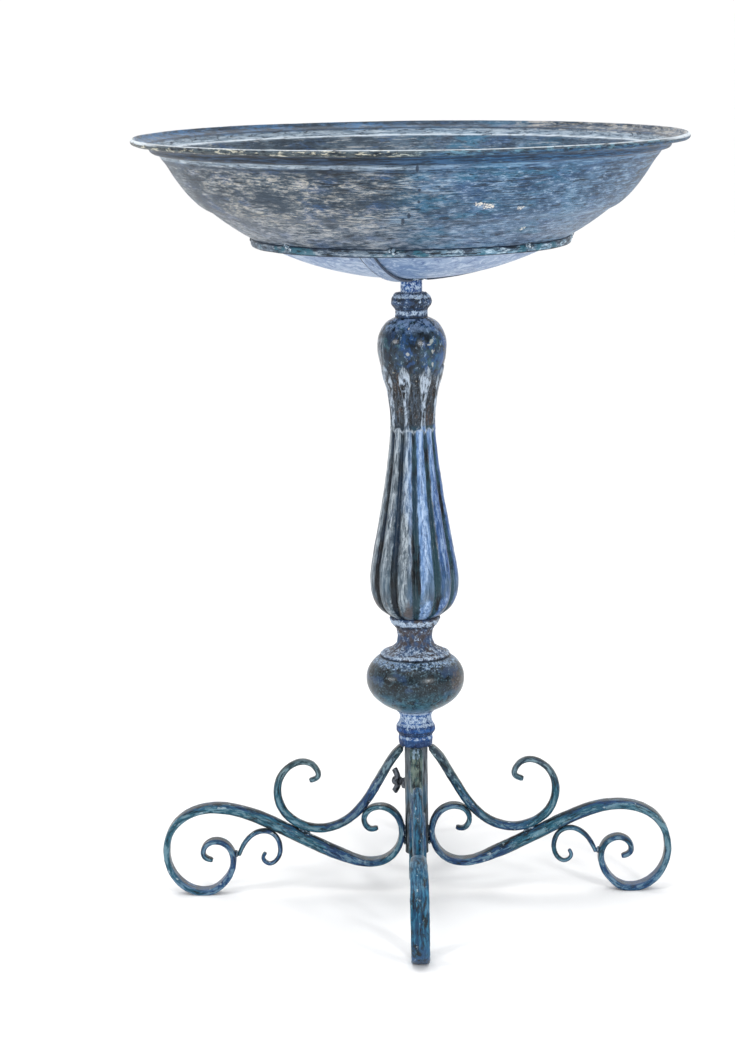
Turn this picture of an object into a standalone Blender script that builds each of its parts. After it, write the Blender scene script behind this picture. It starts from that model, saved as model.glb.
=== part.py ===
"""A cast and forged metal bird bath: a spun bowl on a fluted column with four scrolled legs.

The frame has +Z up, with the origin on the floor under the centre of the column.
Every size below is in millimetres and becomes metres where a mesh is made.
"""

import math

import bmesh
import bpy
import numpy as np
from mathutils import Matrix, Vector

MM = 0.001
GAP = 0.3

# Overall
HEIGHT = 691.0
BOWL_RADIUS = 245.0

# Bowl
LIP_RADIUS = 2.7
LIP_CENTRE = (BOWL_RADIUS - LIP_RADIUS, HEIGHT - LIP_RADIUS)
SHEET = 1.6
DISH_RADIUS = 283.0
DISH_BOTTOM = 565.0
DISH_EDGE = 176.0
WALL_TOP = (219.6, 675.4)
FLANGE_ROOT = (229.6, 683.6)
BOWL_SEGMENTS = 48

# Cradle under the bowl
CRADLE_RADIUS = 141.5
CRADLE_BAND = 3.0
CRADLE_HEIGHT = 7.6
STRAP_WIDTH = 14.0
STRAP_THICKNESS = 2.2
STRAP_AZIMUTHS = {"front": -107.0, "right": 13.0, "left": 133.0}

# Tubes, from the floor up
POST_RADIUS = 10.6
POST_BORE = 8.2
POST_SPAN = (37.0, 138.6)
SPIGOT_RADIUS = POST_BORE - GAP
SPIGOT_BORE = 6.2
SPIGOT_FOOT = 62.0
STUB_RADIUS = 9.7
STUB_BORE = 8.0
STUB_FOOT = 516.0
STUB_HEAD = DISH_BOTTOM - GAP
TUBE_SEGMENTS = 24

# Turned castings of the column: the heights where one ends and the next starts
COLLAR_SPAN = (138.9, 171.6)
BALL_SPAN = (171.9, 222.6)
COVE_SPAN = (222.9, 259.0)
BALUSTER_SPAN = (259.3, 529.6)
SOCKET_SPAN = (529.9, 551.8)
CASTING_WALL = 3.0
CASTING_SEGMENTS = 24

# Flutes of the baluster
FLUTES = 12
FLUTE_STEPS = 4
FLUTE_DEPTH = 0.1
FLUTE_FOOT = 262.0
FLUTE_SHOULDER = 430.0
FLUTE_HEAD = 492.0

# Clamp screw in the side of the post
SCREW_HEIGHT = 100.0
SCREW_AZIMUTH = 135.0
SCREW_RADIUS = 3.0
SCREW_TIP = SPIGOT_RADIUS + GAP
NUT_SPAN = (POST_RADIUS + GAP, 15.2)
NUT_RADIUS = 5.6
HUB_SPAN = (20.5, 28.0)
HUB_RADIUS = 4.4
WING_SPAN = 11.5
WING_THICKNESS = 2.6
WING_TIP = 31.0

# Legs
LEG_AZIMUTHS = {"front": -90.0, "right": 0.0, "back": 90.0, "left": 180.0}

# Centre lines as (distance from the column's axis, height)
LEG_LINE = [
    (187.5, 31.0), (195.5, 35.2), (194.6, 44.0), (184.6, 49.6), (174.0, 45.6), (168.8, 35.6),
    (169.8, 23.4), (176.6, 11.6), (188.4, 3.1), (203.0, 2.8), (215.4, 9.2), (226.6, 24.6),
    (229.4, 43.0), (223.2, 62.6), (206.0, 76.8), (184.0, 81.0), (159.0, 76.8), (135.0, 67.2),
    (113.0, 56.2), (91.0, 45.4), (68.0, 35.0), (45.0, 28.4), (27.0, 32.2), (16.6, 44.0),
    (13.8, 58.5), (19.0, 73.4), (31.0, 80.8), (44.0, 77.6), (48.2, 67.4), (43.0, 59.8), (35.8, 60.6),
]
BRACE_LINE = [
    (13.0, 137.0), (21.6, 126.6), (28.2, 116.0), (34.4, 105.4), (41.6, 93.0), (50.4, 80.8),
    (61.6, 70.0), (75.6, 62.8), (91.4, 60.8), (106.2, 64.6), (118.6, 73.6), (126.2, 88.2),
    (126.0, 104.4), (117.4, 117.8), (104.4, 123.6), (93.0, 119.2), (89.8, 109.6), (97.4, 105.6),
]
SPRAY_LINE = [
    (163.6, 35.6), (158.0, 47.2), (150.0, 55.4), (140.0, 58.7), (130.2, 54.6), (125.4, 43.6),
    (127.6, 32.8), (135.4, 27.6), (141.2, 32.6), (139.0, 38.0),
]

# Section along each centre line: (share of the length, thickness, width, squareness)
# Squareness 2 is an ellipse, and a higher one nears a rectangle.
LEG_SECTIONS = [
    (0.00, 3.4, 7.0, 3.0), (0.05, 4.8, 12.0, 4.0), (0.14, 5.8, 15.6, 5.0), (0.36, 6.2, 16.4, 5.0),
    (0.43, 8.0, 15.4, 3.6), (0.52, 11.2, 13.4, 2.3), (0.60, 12.0, 12.6, 2.0), (0.69, 11.8, 12.8, 2.2),
    (0.745, 6.8, 15.8, 4.6), (0.80, 5.8, 16.2, 5.0), (0.90, 5.2, 14.6, 4.0), (0.96, 4.4, 11.0, 3.4),
    (1.00, 3.2, 6.4, 3.0),
]
BRACE_SECTIONS = [
    (0.00, 4.2, 11.0, 4.6), (0.08, 5.6, 10.8, 4.0), (0.30, 7.8, 9.8, 2.4), (0.60, 7.6, 9.4, 2.2),
    (0.82, 5.8, 8.8, 2.4), (0.95, 4.4, 7.0, 2.6), (1.00, 2.8, 4.4, 2.6),
]
SPRAY_SECTIONS = [
    (0.00, 3.8, 6.4, 2.4), (0.10, 4.4, 6.8, 2.2), (0.60, 4.6, 6.4, 2.2), (0.90, 3.8, 5.2, 2.2),
    (1.00, 2.6, 3.8, 2.2),
]
LEG_RINGS = 46
BRACE_RINGS = 25
SPRAY_RINGS = 15

# Finishes: colour, roughness, metallic
FINISHES = {
    "patina_bowl": ((0.24, 0.33, 0.42, 1.0), 0.55, 0.35),
    "patina_cradle": ((0.14, 0.24, 0.42, 1.0), 0.5, 0.35),
    "patina_column": ((0.10, 0.16, 0.26, 1.0), 0.5, 0.35),
    "patina_collar": ((0.20, 0.32, 0.62, 1.0), 0.65, 0.1),
    "patina_leg": ((0.08, 0.16, 0.26, 1.0), 0.45, 0.35),
    "raw_tube": ((0.16, 0.17, 0.19, 1.0), 0.5, 0.8),
    "gunmetal": ((0.05, 0.055, 0.065, 1.0), 0.45, 0.9),
}


def clear_scene():
    for obj in list(bpy.data.objects):
        bpy.data.objects.remove(obj, do_unlink=True)


def new_collection(name):
    collection = bpy.data.collections.new(name)
    bpy.context.scene.collection.children.link(collection)
    return collection


def new_material(name, finish):
    colour, roughness, metallic = FINISHES[finish]
    material = bpy.data.materials.new(name)
    material.use_nodes = True
    shader = material.node_tree.nodes["Principled BSDF"]
    shader.inputs["Base Color"].default_value = colour
    shader.inputs["Roughness"].default_value = roughness
    shader.inputs["Metallic"].default_value = metallic
    return material


def add_part(collection, name, mesh, finish, crease=40.0):
    """An object of the collection, with its own material and smooth shading between creases."""
    obj = bpy.data.objects.new(name, mesh)
    collection.objects.link(obj)
    mesh.materials.append(new_material(name + "_finish", finish))
    mesh.shade_smooth()
    mesh.set_sharp_from_angle(angle=math.radians(crease))
    return obj


def spline(points, count):
    """Places along the natural cubic spline through points, closer together where it bends.

    Each is a point, its direction and its share of the length.
    """
    knots = np.array(points, dtype=float)
    steps = np.linalg.norm(np.diff(knots, axis=0), axis=1)
    along = np.concatenate(([0.0], np.cumsum(steps)))
    size = len(knots)
    matrix = np.eye(size)
    right = np.zeros_like(knots)
    for i in range(1, size - 1):
        matrix[i, i - 1:i + 2] = steps[i - 1], 2.0 * (steps[i - 1] + steps[i]), steps[i]
        slope_after = (knots[i + 1] - knots[i]) / steps[i]
        slope_before = (knots[i] - knots[i - 1]) / steps[i - 1]
        right[i] = 6.0 * (slope_after - slope_before)
    bends = np.linalg.solve(matrix, right)

    def point(s):
        i = int(np.clip(np.searchsorted(along, s) - 1, 0, size - 2))
        h = steps[i]
        a = (along[i + 1] - s) / h
        b = (s - along[i]) / h
        curve = (a ** 3 - a) * bends[i] + (b ** 3 - b) * bends[i + 1]
        return a * knots[i] + b * knots[i + 1] + curve * h * h / 6.0

    def direction(s):
        i = int(np.clip(np.searchsorted(along, s) - 1, 0, size - 2))
        h = steps[i]
        a = (along[i + 1] - s) / h
        b = (s - along[i]) / h
        turn = (1.0 - 3.0 * a * a) * bends[i] + (3.0 * b * b - 1.0) * bends[i + 1]
        tangent = (knots[i + 1] - knots[i]) / h + turn * h / 6.0
        return tangent / np.linalg.norm(tangent)

    fine = np.linspace(0.0, along[-1], 20 * size)
    turns = [0.0] + [np.linalg.norm(direction(b) - direction(a)) for a, b in zip(fine, fine[1:])]
    effort = np.cumsum(turns) / sum(turns) + fine / along[-1]
    places = np.interp(np.linspace(0.0, effort[-1], count), effort, fine)
    return [(point(s), direction(s), s / along[-1]) for s in places]


def turned(collection, name, profile, finish, segments, closed=True, crease=40.0):
    """A solid of revolution about Z. The profile runs down the outer side, then up the inner one."""
    mesh = bpy.data.meshes.new(name)
    vertices = [(r * MM, 0.0, z * MM) for r, z in profile]
    edges = [(i, i + 1) for i in range(len(vertices) - 1)]
    if closed:
        edges.append((len(vertices) - 1, 0))
    mesh.from_pydata(vertices, edges, [])
    obj = add_part(collection, name, mesh, finish, crease)
    screw = obj.modifiers.new("turn", "SCREW")
    screw.axis = "Z"
    screw.steps = segments
    screw.render_steps = segments
    screw.use_merge_vertices = True
    screw.merge_threshold = 0.00001
    screw.use_smooth_shade = True
    return obj


def applied(obj):
    """The object with its modifiers made part of its mesh."""
    depsgraph = bpy.context.evaluated_depsgraph_get()
    mesh = bpy.data.meshes.new_from_object(obj.evaluated_get(depsgraph))
    obj.modifiers.clear()
    obj.data = mesh
    return obj


def outline(thickness, width, squareness, sides):
    """A closed superellipse outline: across is the direction of thickness, side the one of width."""
    points = []
    for i in range(sides):
        angle = 2.0 * math.pi * (i + 0.5) / sides
        c = math.cos(angle)
        s = math.sin(angle)
        across = math.copysign(abs(c) ** (2.0 / squareness), c)
        side = math.copysign(abs(s) ** (2.0 / squareness), s)
        points.append((0.5 * thickness * across, 0.5 * width * side))
    return points


def section_at(sections, share):
    shares = [row[0] for row in sections]
    return [float(np.interp(share, shares, [row[k] for row in sections])) for k in (1, 2, 3)]


def forged(collection, name, line, sections, rings, sides, azimuth, finish, floor=None):
    """A bar lofted along a centre line in the upright plane at an azimuth.

    Its section changes along the line. A floor height presses what is below it flat.
    """
    builder = bmesh.new()
    turn = Matrix.Rotation(math.radians(azimuth), 3, "Z")
    loops = []
    for place, tangent, share in spline(line, rings):
        thickness, width, squareness = section_at(sections, share)
        loop = []
        for across, side in outline(thickness, width, squareness, sides):
            r = place[0] - tangent[1] * across
            z = place[1] + tangent[0] * across
            if floor is not None:
                z = max(z, floor)
            loop.append(builder.verts.new(turn @ Vector((r, side, z)) * MM))
        loops.append(loop)
    for near, far in zip(loops, loops[1:]):
        for i in range(sides):
            k = (i + 1) % sides
            builder.faces.new((near[i], near[k], far[k], far[i]))
    builder.faces.new(loops[0][::-1])
    builder.faces.new(loops[-1])
    bmesh.ops.recalc_face_normals(builder, faces=builder.faces)
    mesh = bpy.data.meshes.new(name)
    builder.to_mesh(mesh)
    builder.free()
    return add_part(collection, name, mesh, finish)


def tube(collection, name, outer, bore, span, finish):
    low, high = span
    profile = [(outer, high), (outer, low), (bore, low), (bore, high)]
    return turned(collection, name, profile, finish, TUBE_SEGMENTS)


def dish_height(radius):
    """The height of the bowl's outer side where it is part of a sphere."""
    return DISH_BOTTOM + DISH_RADIUS - math.sqrt(DISH_RADIUS ** 2 - radius ** 2)


def bowl_outer_side():
    """The outer side of the bowl, from under the lip down to the centre of its underside."""
    flange = [(239.6, 686.5), FLANGE_ROOT]
    step = [(228.2, 680.2), (225.0, 677.9), (221.6, 677.2), WALL_TOP]
    wall = [(214.4, 668.2), (204.6, 652.6), (191.6, 637.1), (DISH_EDGE, dish_height(DISH_EDGE))]
    dish = [(r, dish_height(r)) for r in (150.0, 120.0, 88.0, 54.0, 24.0, 0.0)]
    return flange + step + wall + dish


def offset_inwards(side, distance):
    """The side moved by a distance along its normals, towards the inside of the bowl."""
    moved = []
    for i, (r, z) in enumerate(side):
        before = side[max(i - 1, 0)]
        after = side[min(i + 1, len(side) - 1)]
        dr = after[0] - before[0]
        dz = after[1] - before[1]
        length = math.hypot(dr, dz)
        shift = 0.0 if r == 0.0 else dz / length * distance
        moved.append((r + shift, z - dr / length * distance))
    return moved


def make_bowl(collection):
    outer = bowl_outer_side()
    inner = offset_inwards(outer, SHEET)
    cr, cz = LIP_CENTRE
    bead = []
    for degrees in (135.0, 90.0, 45.0, 0.0, -45.0, -90.0):
        angle = math.radians(degrees)
        bead.append((cr + LIP_RADIUS * math.cos(angle), cz + LIP_RADIUS * math.sin(angle)))
    profile = inner[::-1] + bead + outer
    return turned(collection, "bowl", profile, "patina_bowl", BOWL_SEGMENTS, closed=False)


def make_cradle(collection):
    inside = CRADLE_RADIUS - CRADLE_BAND
    outside = CRADLE_RADIUS
    clearance = GAP + 0.2
    top = dish_height(outside) - clearance
    low = top - CRADLE_HEIGHT
    round_off = 0.8
    profile = [
        (outside, top), (outside, low + round_off), (outside - round_off, low),
        (inside + round_off, low), (inside, low + round_off), (inside, dish_height(inside) - clearance),
    ]
    turned(collection, "support_ring", profile, "patina_cradle", BOWL_SEGMENTS)
    drop = GAP + 0.5 * STRAP_THICKNESS + 0.2
    end = inside - GAP - 1.2
    radii = [end - (end - STUB_RADIUS - 3.0) * i / 6.0 for i in range(7)]
    line = [(r, dish_height(r) - drop) for r in radii]
    sections = [(0.0, STRAP_THICKNESS, STRAP_WIDTH, 8.0), (1.0, STRAP_THICKNESS, STRAP_WIDTH - 3.0, 8.0)]
    for side, azimuth in STRAP_AZIMUTHS.items():
        forged(collection, "cradle_strap_" + side, line, sections, 8, 8, azimuth, "patina_cradle")


def make_tubes(collection):
    tube(collection, "column_tube", SPIGOT_RADIUS, SPIGOT_BORE, (SPIGOT_FOOT, STUB_FOOT - 2.0), "raw_tube")
    tube(collection, "bowl_stub", STUB_RADIUS, STUB_BORE, (STUB_FOOT, STUB_HEAD), "patina_collar")


def hollow(outer_side, bore, mouth, wall, steps):
    """A profile that follows outer_side down, and comes back up a wall's thickness inside it.

    The bore is its opening at the foot, and the mouth its opening at the head.
    """
    high = outer_side[0][1]
    low = outer_side[-1][1]
    heights = [z for _, z in outer_side[::-1]]
    radii = [r for r, _ in outer_side[::-1]]
    inner = [(bore, low)]
    for i in range(1, steps):
        z = low + wall + (high - low - 2.0 * wall) * i / steps
        inner.append((max(bore, float(np.interp(z, heights, radii)) - wall), z))
    inner.append((mouth, high))
    return outer_side + inner


def make_collar(collection):
    low, high = COLLAR_SPAN
    side = [
        (16.4, high), (14.4, 166.4), (15.4, 161.4), (17.3, 157.8), (17.7, 154.6), (17.3, 151.6),
        (15.3, 149.0), (15.1, 145.6), (14.8, low),
    ]
    bore = SPIGOT_RADIUS + GAP
    turned(collection, "lower_collar", side + [(bore, low), (bore, high)], "patina_collar", CASTING_SEGMENTS)


def make_ball(collection):
    low, high = BALL_SPAN
    side = [
        (31.8, high), (36.8, 218.6), (40.8, 214.0), (43.4, 208.6), (44.3, 202.0), (43.2, 194.6),
        (39.2, 187.0), (32.0, 180.0), (23.6, 174.6), (17.2, low),
    ]
    bore = SPIGOT_RADIUS + GAP
    profile = hollow(side, bore, bore, CASTING_WALL, 6)
    turned(collection, "ball", profile, "patina_column", 36)


def make_cove(collection):
    low, high = COVE_SPAN
    side = [
        (22.6, high), (22.6, 256.6), (20.6, 252.4), (17.4, 248.8), (15.8, 243.4), (15.8, 237.6),
        (17.6, 233.0), (21.6, 229.4), (31.6, 224.4), (31.6, low),
    ]
    bore = SPIGOT_RADIUS + GAP
    turned(collection, "cove_ring", side + [(bore, low), (bore, high)], "patina_collar", CASTING_SEGMENTS)


def baluster_side():
    low, high = BALUSTER_SPAN
    return [
        (15.2, high), (20.4, 527.2), (25.2, 522.8), (28.6, 516.8), (30.6, 510.0), (31.0, 503.4),
        (29.8, 493.0), (27.2, 482.2), (23.8, 468.0), (21.4, 451.0), (20.4, 434.0), (21.6, 416.0),
        (24.0, 396.0), (27.2, 374.0), (31.0, 352.0), (35.4, 328.0), (39.4, 306.0), (40.7, 293.0),
        (39.4, 280.6), (35.0, 270.0), (29.0, 263.6), (22.4, low),
    ]


def flute_depth(z):
    """How deep the grooves between the flutes are at a height, as a share of the radius.

    One groove faces the front, and the others follow at equal turns.
    """
    heights = (BALUSTER_SPAN[0], FLUTE_FOOT + 8.0, FLUTE_SHOULDER, FLUTE_HEAD)
    return float(np.interp(z, heights, (0.0, FLUTE_DEPTH, FLUTE_DEPTH, 0.0)))


def make_baluster(collection):
    side = baluster_side()
    profile = hollow(side, SPIGOT_RADIUS + GAP, STUB_RADIUS + GAP, CASTING_WALL + 2.0, 9)
    obj = turned(collection, "baluster", profile, "patina_column", FLUTES * FLUTE_STEPS, crease=60.0)
    applied(obj)
    heights = [z for _, z in side[::-1]]
    radii = [r for r, _ in side[::-1]]
    for vertex in obj.data.vertices:
        x, y, z = vertex.co
        radius = math.hypot(x, y)
        on_outer_side = radius > float(np.interp(z / MM, heights, radii)) * MM - 0.5 * MM
        if not on_outer_side:
            continue
        turn = math.atan2(y, x) / (2.0 * math.pi) * FLUTES + 0.5
        across = 2.0 * abs(turn - round(turn))
        scale = 1.0 - flute_depth(z / MM) * (1.0 - math.sqrt(max(0.0, 1.0 - across ** 2)))
        vertex.co.x = x * scale
        vertex.co.y = y * scale


def make_socket(collection):
    low, high = SOCKET_SPAN
    side = [
        (13.4, high), (16.4, 549.4), (18.2, 545.8), (18.2, 542.2), (16.4, 538.6), (14.6, 536.0),
        (14.4, 532.6), (14.8, low),
    ]
    bore = STUB_RADIUS + GAP
    turned(collection, "top_socket", side + [(bore, low), (bore, high)], "patina_collar", CASTING_SEGMENTS)


def make_legs(collection):
    for side, azimuth in LEG_AZIMUTHS.items():
        forged(
            collection, "leg_scroll_" + side, LEG_LINE, LEG_SECTIONS, LEG_RINGS, 8, azimuth, "patina_leg", floor=0.0
        )
        forged(collection, "brace_scroll_" + side, BRACE_LINE, BRACE_SECTIONS, BRACE_RINGS, 8, azimuth, "patina_leg")
        forged(collection, "spray_scroll_" + side, SPRAY_LINE, SPRAY_SECTIONS, SPRAY_RINGS, 6, azimuth, "patina_leg")


def radial_cylinder(name, radius, span, sides):
    """A cylinder whose axis runs outwards from the column at the screw's height and azimuth."""
    near, far = span
    builder = bmesh.new()
    bmesh.ops.create_cone(
        builder, cap_ends=True, segments=sides, radius1=radius * MM, radius2=radius * MM, depth=(far - near) * MM
    )
    mesh = bpy.data.meshes.new(name)
    builder.to_mesh(mesh)
    builder.free()
    turn = Matrix.Rotation(math.radians(SCREW_AZIMUTH), 4, "Z")
    tip_over = Matrix.Rotation(math.radians(90.0), 4, "Y")
    shift = Matrix.Translation((0.5 * (near + far) * MM, 0.0, SCREW_HEIGHT * MM))
    mesh.transform(turn @ shift @ tip_over)
    return mesh


def add_cutter(collection, mesh):
    cutter = bpy.data.objects.new(mesh.name, mesh)
    collection.objects.link(cutter)
    cutter.hide_render = True
    cutter.display_type = "WIRE"
    return cutter


def combine(obj, other, operation):
    boolean = obj.modifiers.new(operation.lower(), "BOOLEAN")
    boolean.object = other
    boolean.operation = operation
    boolean.solver = "EXACT"


def make_post(collection, cutters):
    post = tube(collection, "post_tube", POST_RADIUS, POST_BORE, POST_SPAN, "patina_leg")
    hole = add_cutter(cutters, radial_cylinder("screw_hole", SCREW_RADIUS + GAP, (2.0, 40.0), 12))
    combine(post, hole, "DIFFERENCE")
    nut = add_part(collection, "clamp_nut", radial_cylinder("clamp_nut", NUT_RADIUS, NUT_SPAN, 6), "gunmetal")
    combine(nut, hole, "DIFFERENCE")


def make_wing_screw(collection, cutters):
    """The screw, its hub and two wings, as one piece with its origin on its own axis."""
    screw = add_part(
        collection, "wing_screw", radial_cylinder("wing_screw", SCREW_RADIUS, (SCREW_TIP, HUB_SPAN[1]), 12), "gunmetal"
    )
    hub = add_cutter(cutters, radial_cylinder("wing_hub", HUB_RADIUS, HUB_SPAN, 12))
    combine(screw, hub, "UNION")
    root = 0.5 * (HUB_SPAN[0] + HUB_SPAN[1])
    for name, way in (("wing_up", 1.0), ("wing_down", -1.0)):
        line = [
            (root, SCREW_HEIGHT + way * 2.0), (root + 1.2, SCREW_HEIGHT + way * 6.0),
            (WING_TIP - 2.4, SCREW_HEIGHT + way * WING_SPAN),
        ]
        sections = [(0.0, 5.0, WING_THICKNESS, 3.0), (0.6, 5.6, WING_THICKNESS, 3.0), (1.0, 4.0, 2.0, 3.0)]
        wing = forged(collection, name, line, sections, 5, 8, SCREW_AZIMUTH, "gunmetal")
        collection.objects.unlink(wing)
        cutters.objects.link(wing)
        wing.hide_render = True
        wing.display_type = "WIRE"
        combine(screw, wing, "UNION")
    direction = Vector((math.cos(math.radians(SCREW_AZIMUTH)), math.sin(math.radians(SCREW_AZIMUTH)), 0.0))
    origin = direction * SCREW_TIP * MM + Vector((0.0, 0.0, SCREW_HEIGHT * MM))
    screw.data.transform(Matrix.Translation(-origin))
    screw.location = origin


def main():
    clear_scene()
    parts = new_collection("bird_bath")
    cutters = new_collection("cutters")
    make_bowl(parts)
    make_cradle(parts)
    make_tubes(parts)
    make_collar(parts)
    make_ball(parts)
    make_cove(parts)
    make_baluster(parts)
    make_socket(parts)
    make_legs(parts)
    make_post(parts, cutters)
    make_wing_screw(parts, cutters)


main()
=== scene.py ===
"""The looks of a bird bath: painted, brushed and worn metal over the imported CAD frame.

Lengths in the shape functions are in millimetres and become metres where a mesh is made.
Azimuths are in degrees: -90 faces the front, 0 the right.
"""

import math

import bmesh
import bpy
import numpy as np
from mathutils import Matrix, Vector, noise


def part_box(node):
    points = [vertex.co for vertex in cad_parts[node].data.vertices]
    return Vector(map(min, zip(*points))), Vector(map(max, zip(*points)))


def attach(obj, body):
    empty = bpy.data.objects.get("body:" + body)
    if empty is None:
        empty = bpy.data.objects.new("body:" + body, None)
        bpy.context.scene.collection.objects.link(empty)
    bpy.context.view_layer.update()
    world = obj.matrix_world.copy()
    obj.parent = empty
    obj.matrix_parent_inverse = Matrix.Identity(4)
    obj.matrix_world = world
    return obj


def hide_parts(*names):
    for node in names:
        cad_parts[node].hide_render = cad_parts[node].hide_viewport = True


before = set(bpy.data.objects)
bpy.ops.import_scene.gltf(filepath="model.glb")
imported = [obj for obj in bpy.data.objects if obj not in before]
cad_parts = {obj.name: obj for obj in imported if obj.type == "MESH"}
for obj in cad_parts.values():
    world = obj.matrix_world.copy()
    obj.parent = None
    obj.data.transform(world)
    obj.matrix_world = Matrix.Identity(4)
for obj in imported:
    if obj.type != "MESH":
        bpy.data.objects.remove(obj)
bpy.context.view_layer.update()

MM = 0.001
FRONT = -90


def span(node):
    """The heights of a CAD node's foot and head, in millimetres."""
    return tuple(corner[2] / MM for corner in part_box(node))


def reach(node):
    """How far a CAD node reaches to the right, in millimetres: a round one's radius."""
    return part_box(node)[1][0] / MM


# Bowl
BOWL_RADIUS = reach("bowl")
DISH_BOTTOM, HEIGHT = span("bowl")
HOOP_RADIUS = reach("support_ring")
STUB_RADIUS = reach("bowl_stub")
LIP_RADIUS = 2.7
DISH_RADIUS = 283
DISH_REACH = 176
SHEET = 1.6
ROUND_STEPS = 224

# Column and post
TUBE_RADIUS = reach("column_tube")
POST_RADIUS = reach("post_tube")
FLUTES = 12
FLUTE_TURN = 1.5
FLUTE_DEPTH = 0.105
FLUTE_HEAD = 430
LEAVES = 8
LEAF_TURN = -17
LEAF_TIP = 489

# Legs: each line is (distance from the middle, height) along a bar
LEG_AZIMUTHS = {"front": -90, "right": 0, "back": 90, "left": 180}
LEG_LINE = [
    (187.5, 31), (195.5, 35.2), (194.6, 44), (184.6, 49.6), (174, 45.6), (168.8, 35.6), (169.8, 23.4),
    (176.6, 11.6), (188.4, 3.1), (203, 2.8), (215.4, 9.2), (226.6, 24.6), (229.4, 43), (223.2, 62.6),
    (206, 76.8), (184, 81), (159, 76.8), (135, 67.2), (113, 56.2), (91, 45.4), (68, 35), (45, 28.4),
    (27, 32.2), (16.6, 44), (13.8, 58.5), (19, 73.4), (31, 80.8), (44, 77.6), (48.2, 67.4), (43, 59.8),
    (35.8, 60.6),
]
BRACE_LINE = [
    (13, 137), (21.6, 126.6), (28.2, 116), (34.4, 105.4), (41.6, 93), (50.4, 80.8), (61.6, 70),
    (75.6, 62.8), (91.4, 60.8), (106.2, 64.6), (118.6, 73.6), (126.2, 88.2), (126, 104.4),
    (117.4, 117.8), (104.4, 123.6), (93, 119.2), (89.8, 109.6), (97.4, 105.6),
]
SPRAY_LINE = [
    (163.6, 35.6), (158, 47.2), (150, 55.4), (140, 58.7), (130.2, 54.6), (125.4, 43.6), (127.6, 32.8),
    (135.4, 27.6), (141.2, 32.6), (139, 38),
]

# How far each leg's inner curl was bent sideways by hand
CURL_SKEW = {"front": -2.6, "right": 0.8, "back": 1.2, "left": -0.6}

# Sections along each line: (share of the length, thickness, width, squareness)
LEG_SECTIONS = [
    (0, 4.4, 7.6, 3), (0.02, 4.6, 9.2, 3.6), (0.06, 5, 12.6, 4.4), (0.14, 5.8, 15.6, 5.5),
    (0.36, 6.2, 16.4, 5.5), (0.43, 8.4, 15.4, 3.6), (0.52, 11.9, 13.4, 2.3), (0.6, 12.8, 12.6, 2),
    (0.69, 12.4, 12.8, 2.2), (0.745, 7, 15.8, 4.8), (0.8, 5.8, 16.2, 5.5), (0.9, 5.2, 14.6, 4.4),
    (0.96, 4.8, 11, 3.8), (1, 4.4, 7.4, 3),
]
BRACE_SECTIONS = [
    (0, 6, 11.6, 5), (0.04, 7.8, 11.6, 4.6), (0.14, 8.4, 11, 3.6), (0.3, 8.2, 9.8, 2.4),
    (0.6, 8.2, 9.4, 2.2), (0.82, 6, 8.8, 2.4), (0.95, 5.2, 7.4, 2.6), (1, 4.8, 6, 2.6),
]
SPRAY_SECTIONS = [
    (0, 3.6, 6.2, 2.4), (0.1, 4.4, 6.8, 2.2), (0.6, 4.6, 6.4, 2.2), (0.9, 3.8, 5.2, 2.2), (1, 3.6, 4.8, 2.2)
]

# Clamp screw
SCREW_AZIMUTH = 135
SCREW_HEIGHT = 100


# ---------------------------------------------------------------- shapes

def spline(points, count):
    """Places along the natural cubic spline through points: point, direction and share of length."""
    knots = np.array(points, dtype=float)
    steps = np.linalg.norm(np.diff(knots, axis=0), axis=1)
    slopes = np.diff(knots, axis=0) / steps[:, None]
    along = np.concatenate(([0], np.cumsum(steps)))
    size = len(knots)
    matrix = np.eye(size)
    right = np.zeros_like(knots)
    for i in range(1, size - 1):
        matrix[i, i - 1:i + 2] = steps[i - 1], 2 * (steps[i - 1] + steps[i]), steps[i]
        right[i] = 6 * (slopes[i] - slopes[i - 1])
    bends = np.linalg.solve(matrix, right)
    places = np.linspace(0, along[-1], count)
    index = np.clip(np.searchsorted(along, places) - 1, 0, size - 2)
    h = steps[index][:, None]
    a = (along[index + 1] - places)[:, None] / h
    b = (places - along[index])[:, None] / h
    curve = (a ** 3 - a) * bends[index] + (b ** 3 - b) * bends[index + 1]
    point = a * knots[index] + b * knots[index + 1] + curve * h * h / 6
    turn = (1 - 3 * a * a) * bends[index] + (3 * b * b - 1) * bends[index + 1]
    tangent = slopes[index] + turn * h / 6
    tangent /= np.linalg.norm(tangent, axis=1)[:, None]
    return point, tangent, places / along[-1]


def smooth_side(points, count):
    return spline(points, count)[0]


def step_up(low, high, value):
    """0 below low, 1 above high and smooth between them."""
    t = np.clip((value - low) / (high - low), 0, 1)
    return t * t * (3 - 2 * t)


def step_down(low, high, value):
    return 1 - step_up(low, high, value)


def between(low, low_end, high, high_end, value):
    """0 outside, 1 from low_end to high, and smooth between them."""
    return step_up(low, low_end, value) * step_down(high, high_end, value)


def band(value, centre, half):
    """1 at the centre of a band, falling to 0 at its edges."""
    return step_down(0.3 * half, half, np.abs(value - centre))


def bands(value, table):
    """The sum of some bands, each with its own strength."""
    return sum(strength * band(value, centre, half) for strength, centre, half in table)


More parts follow.
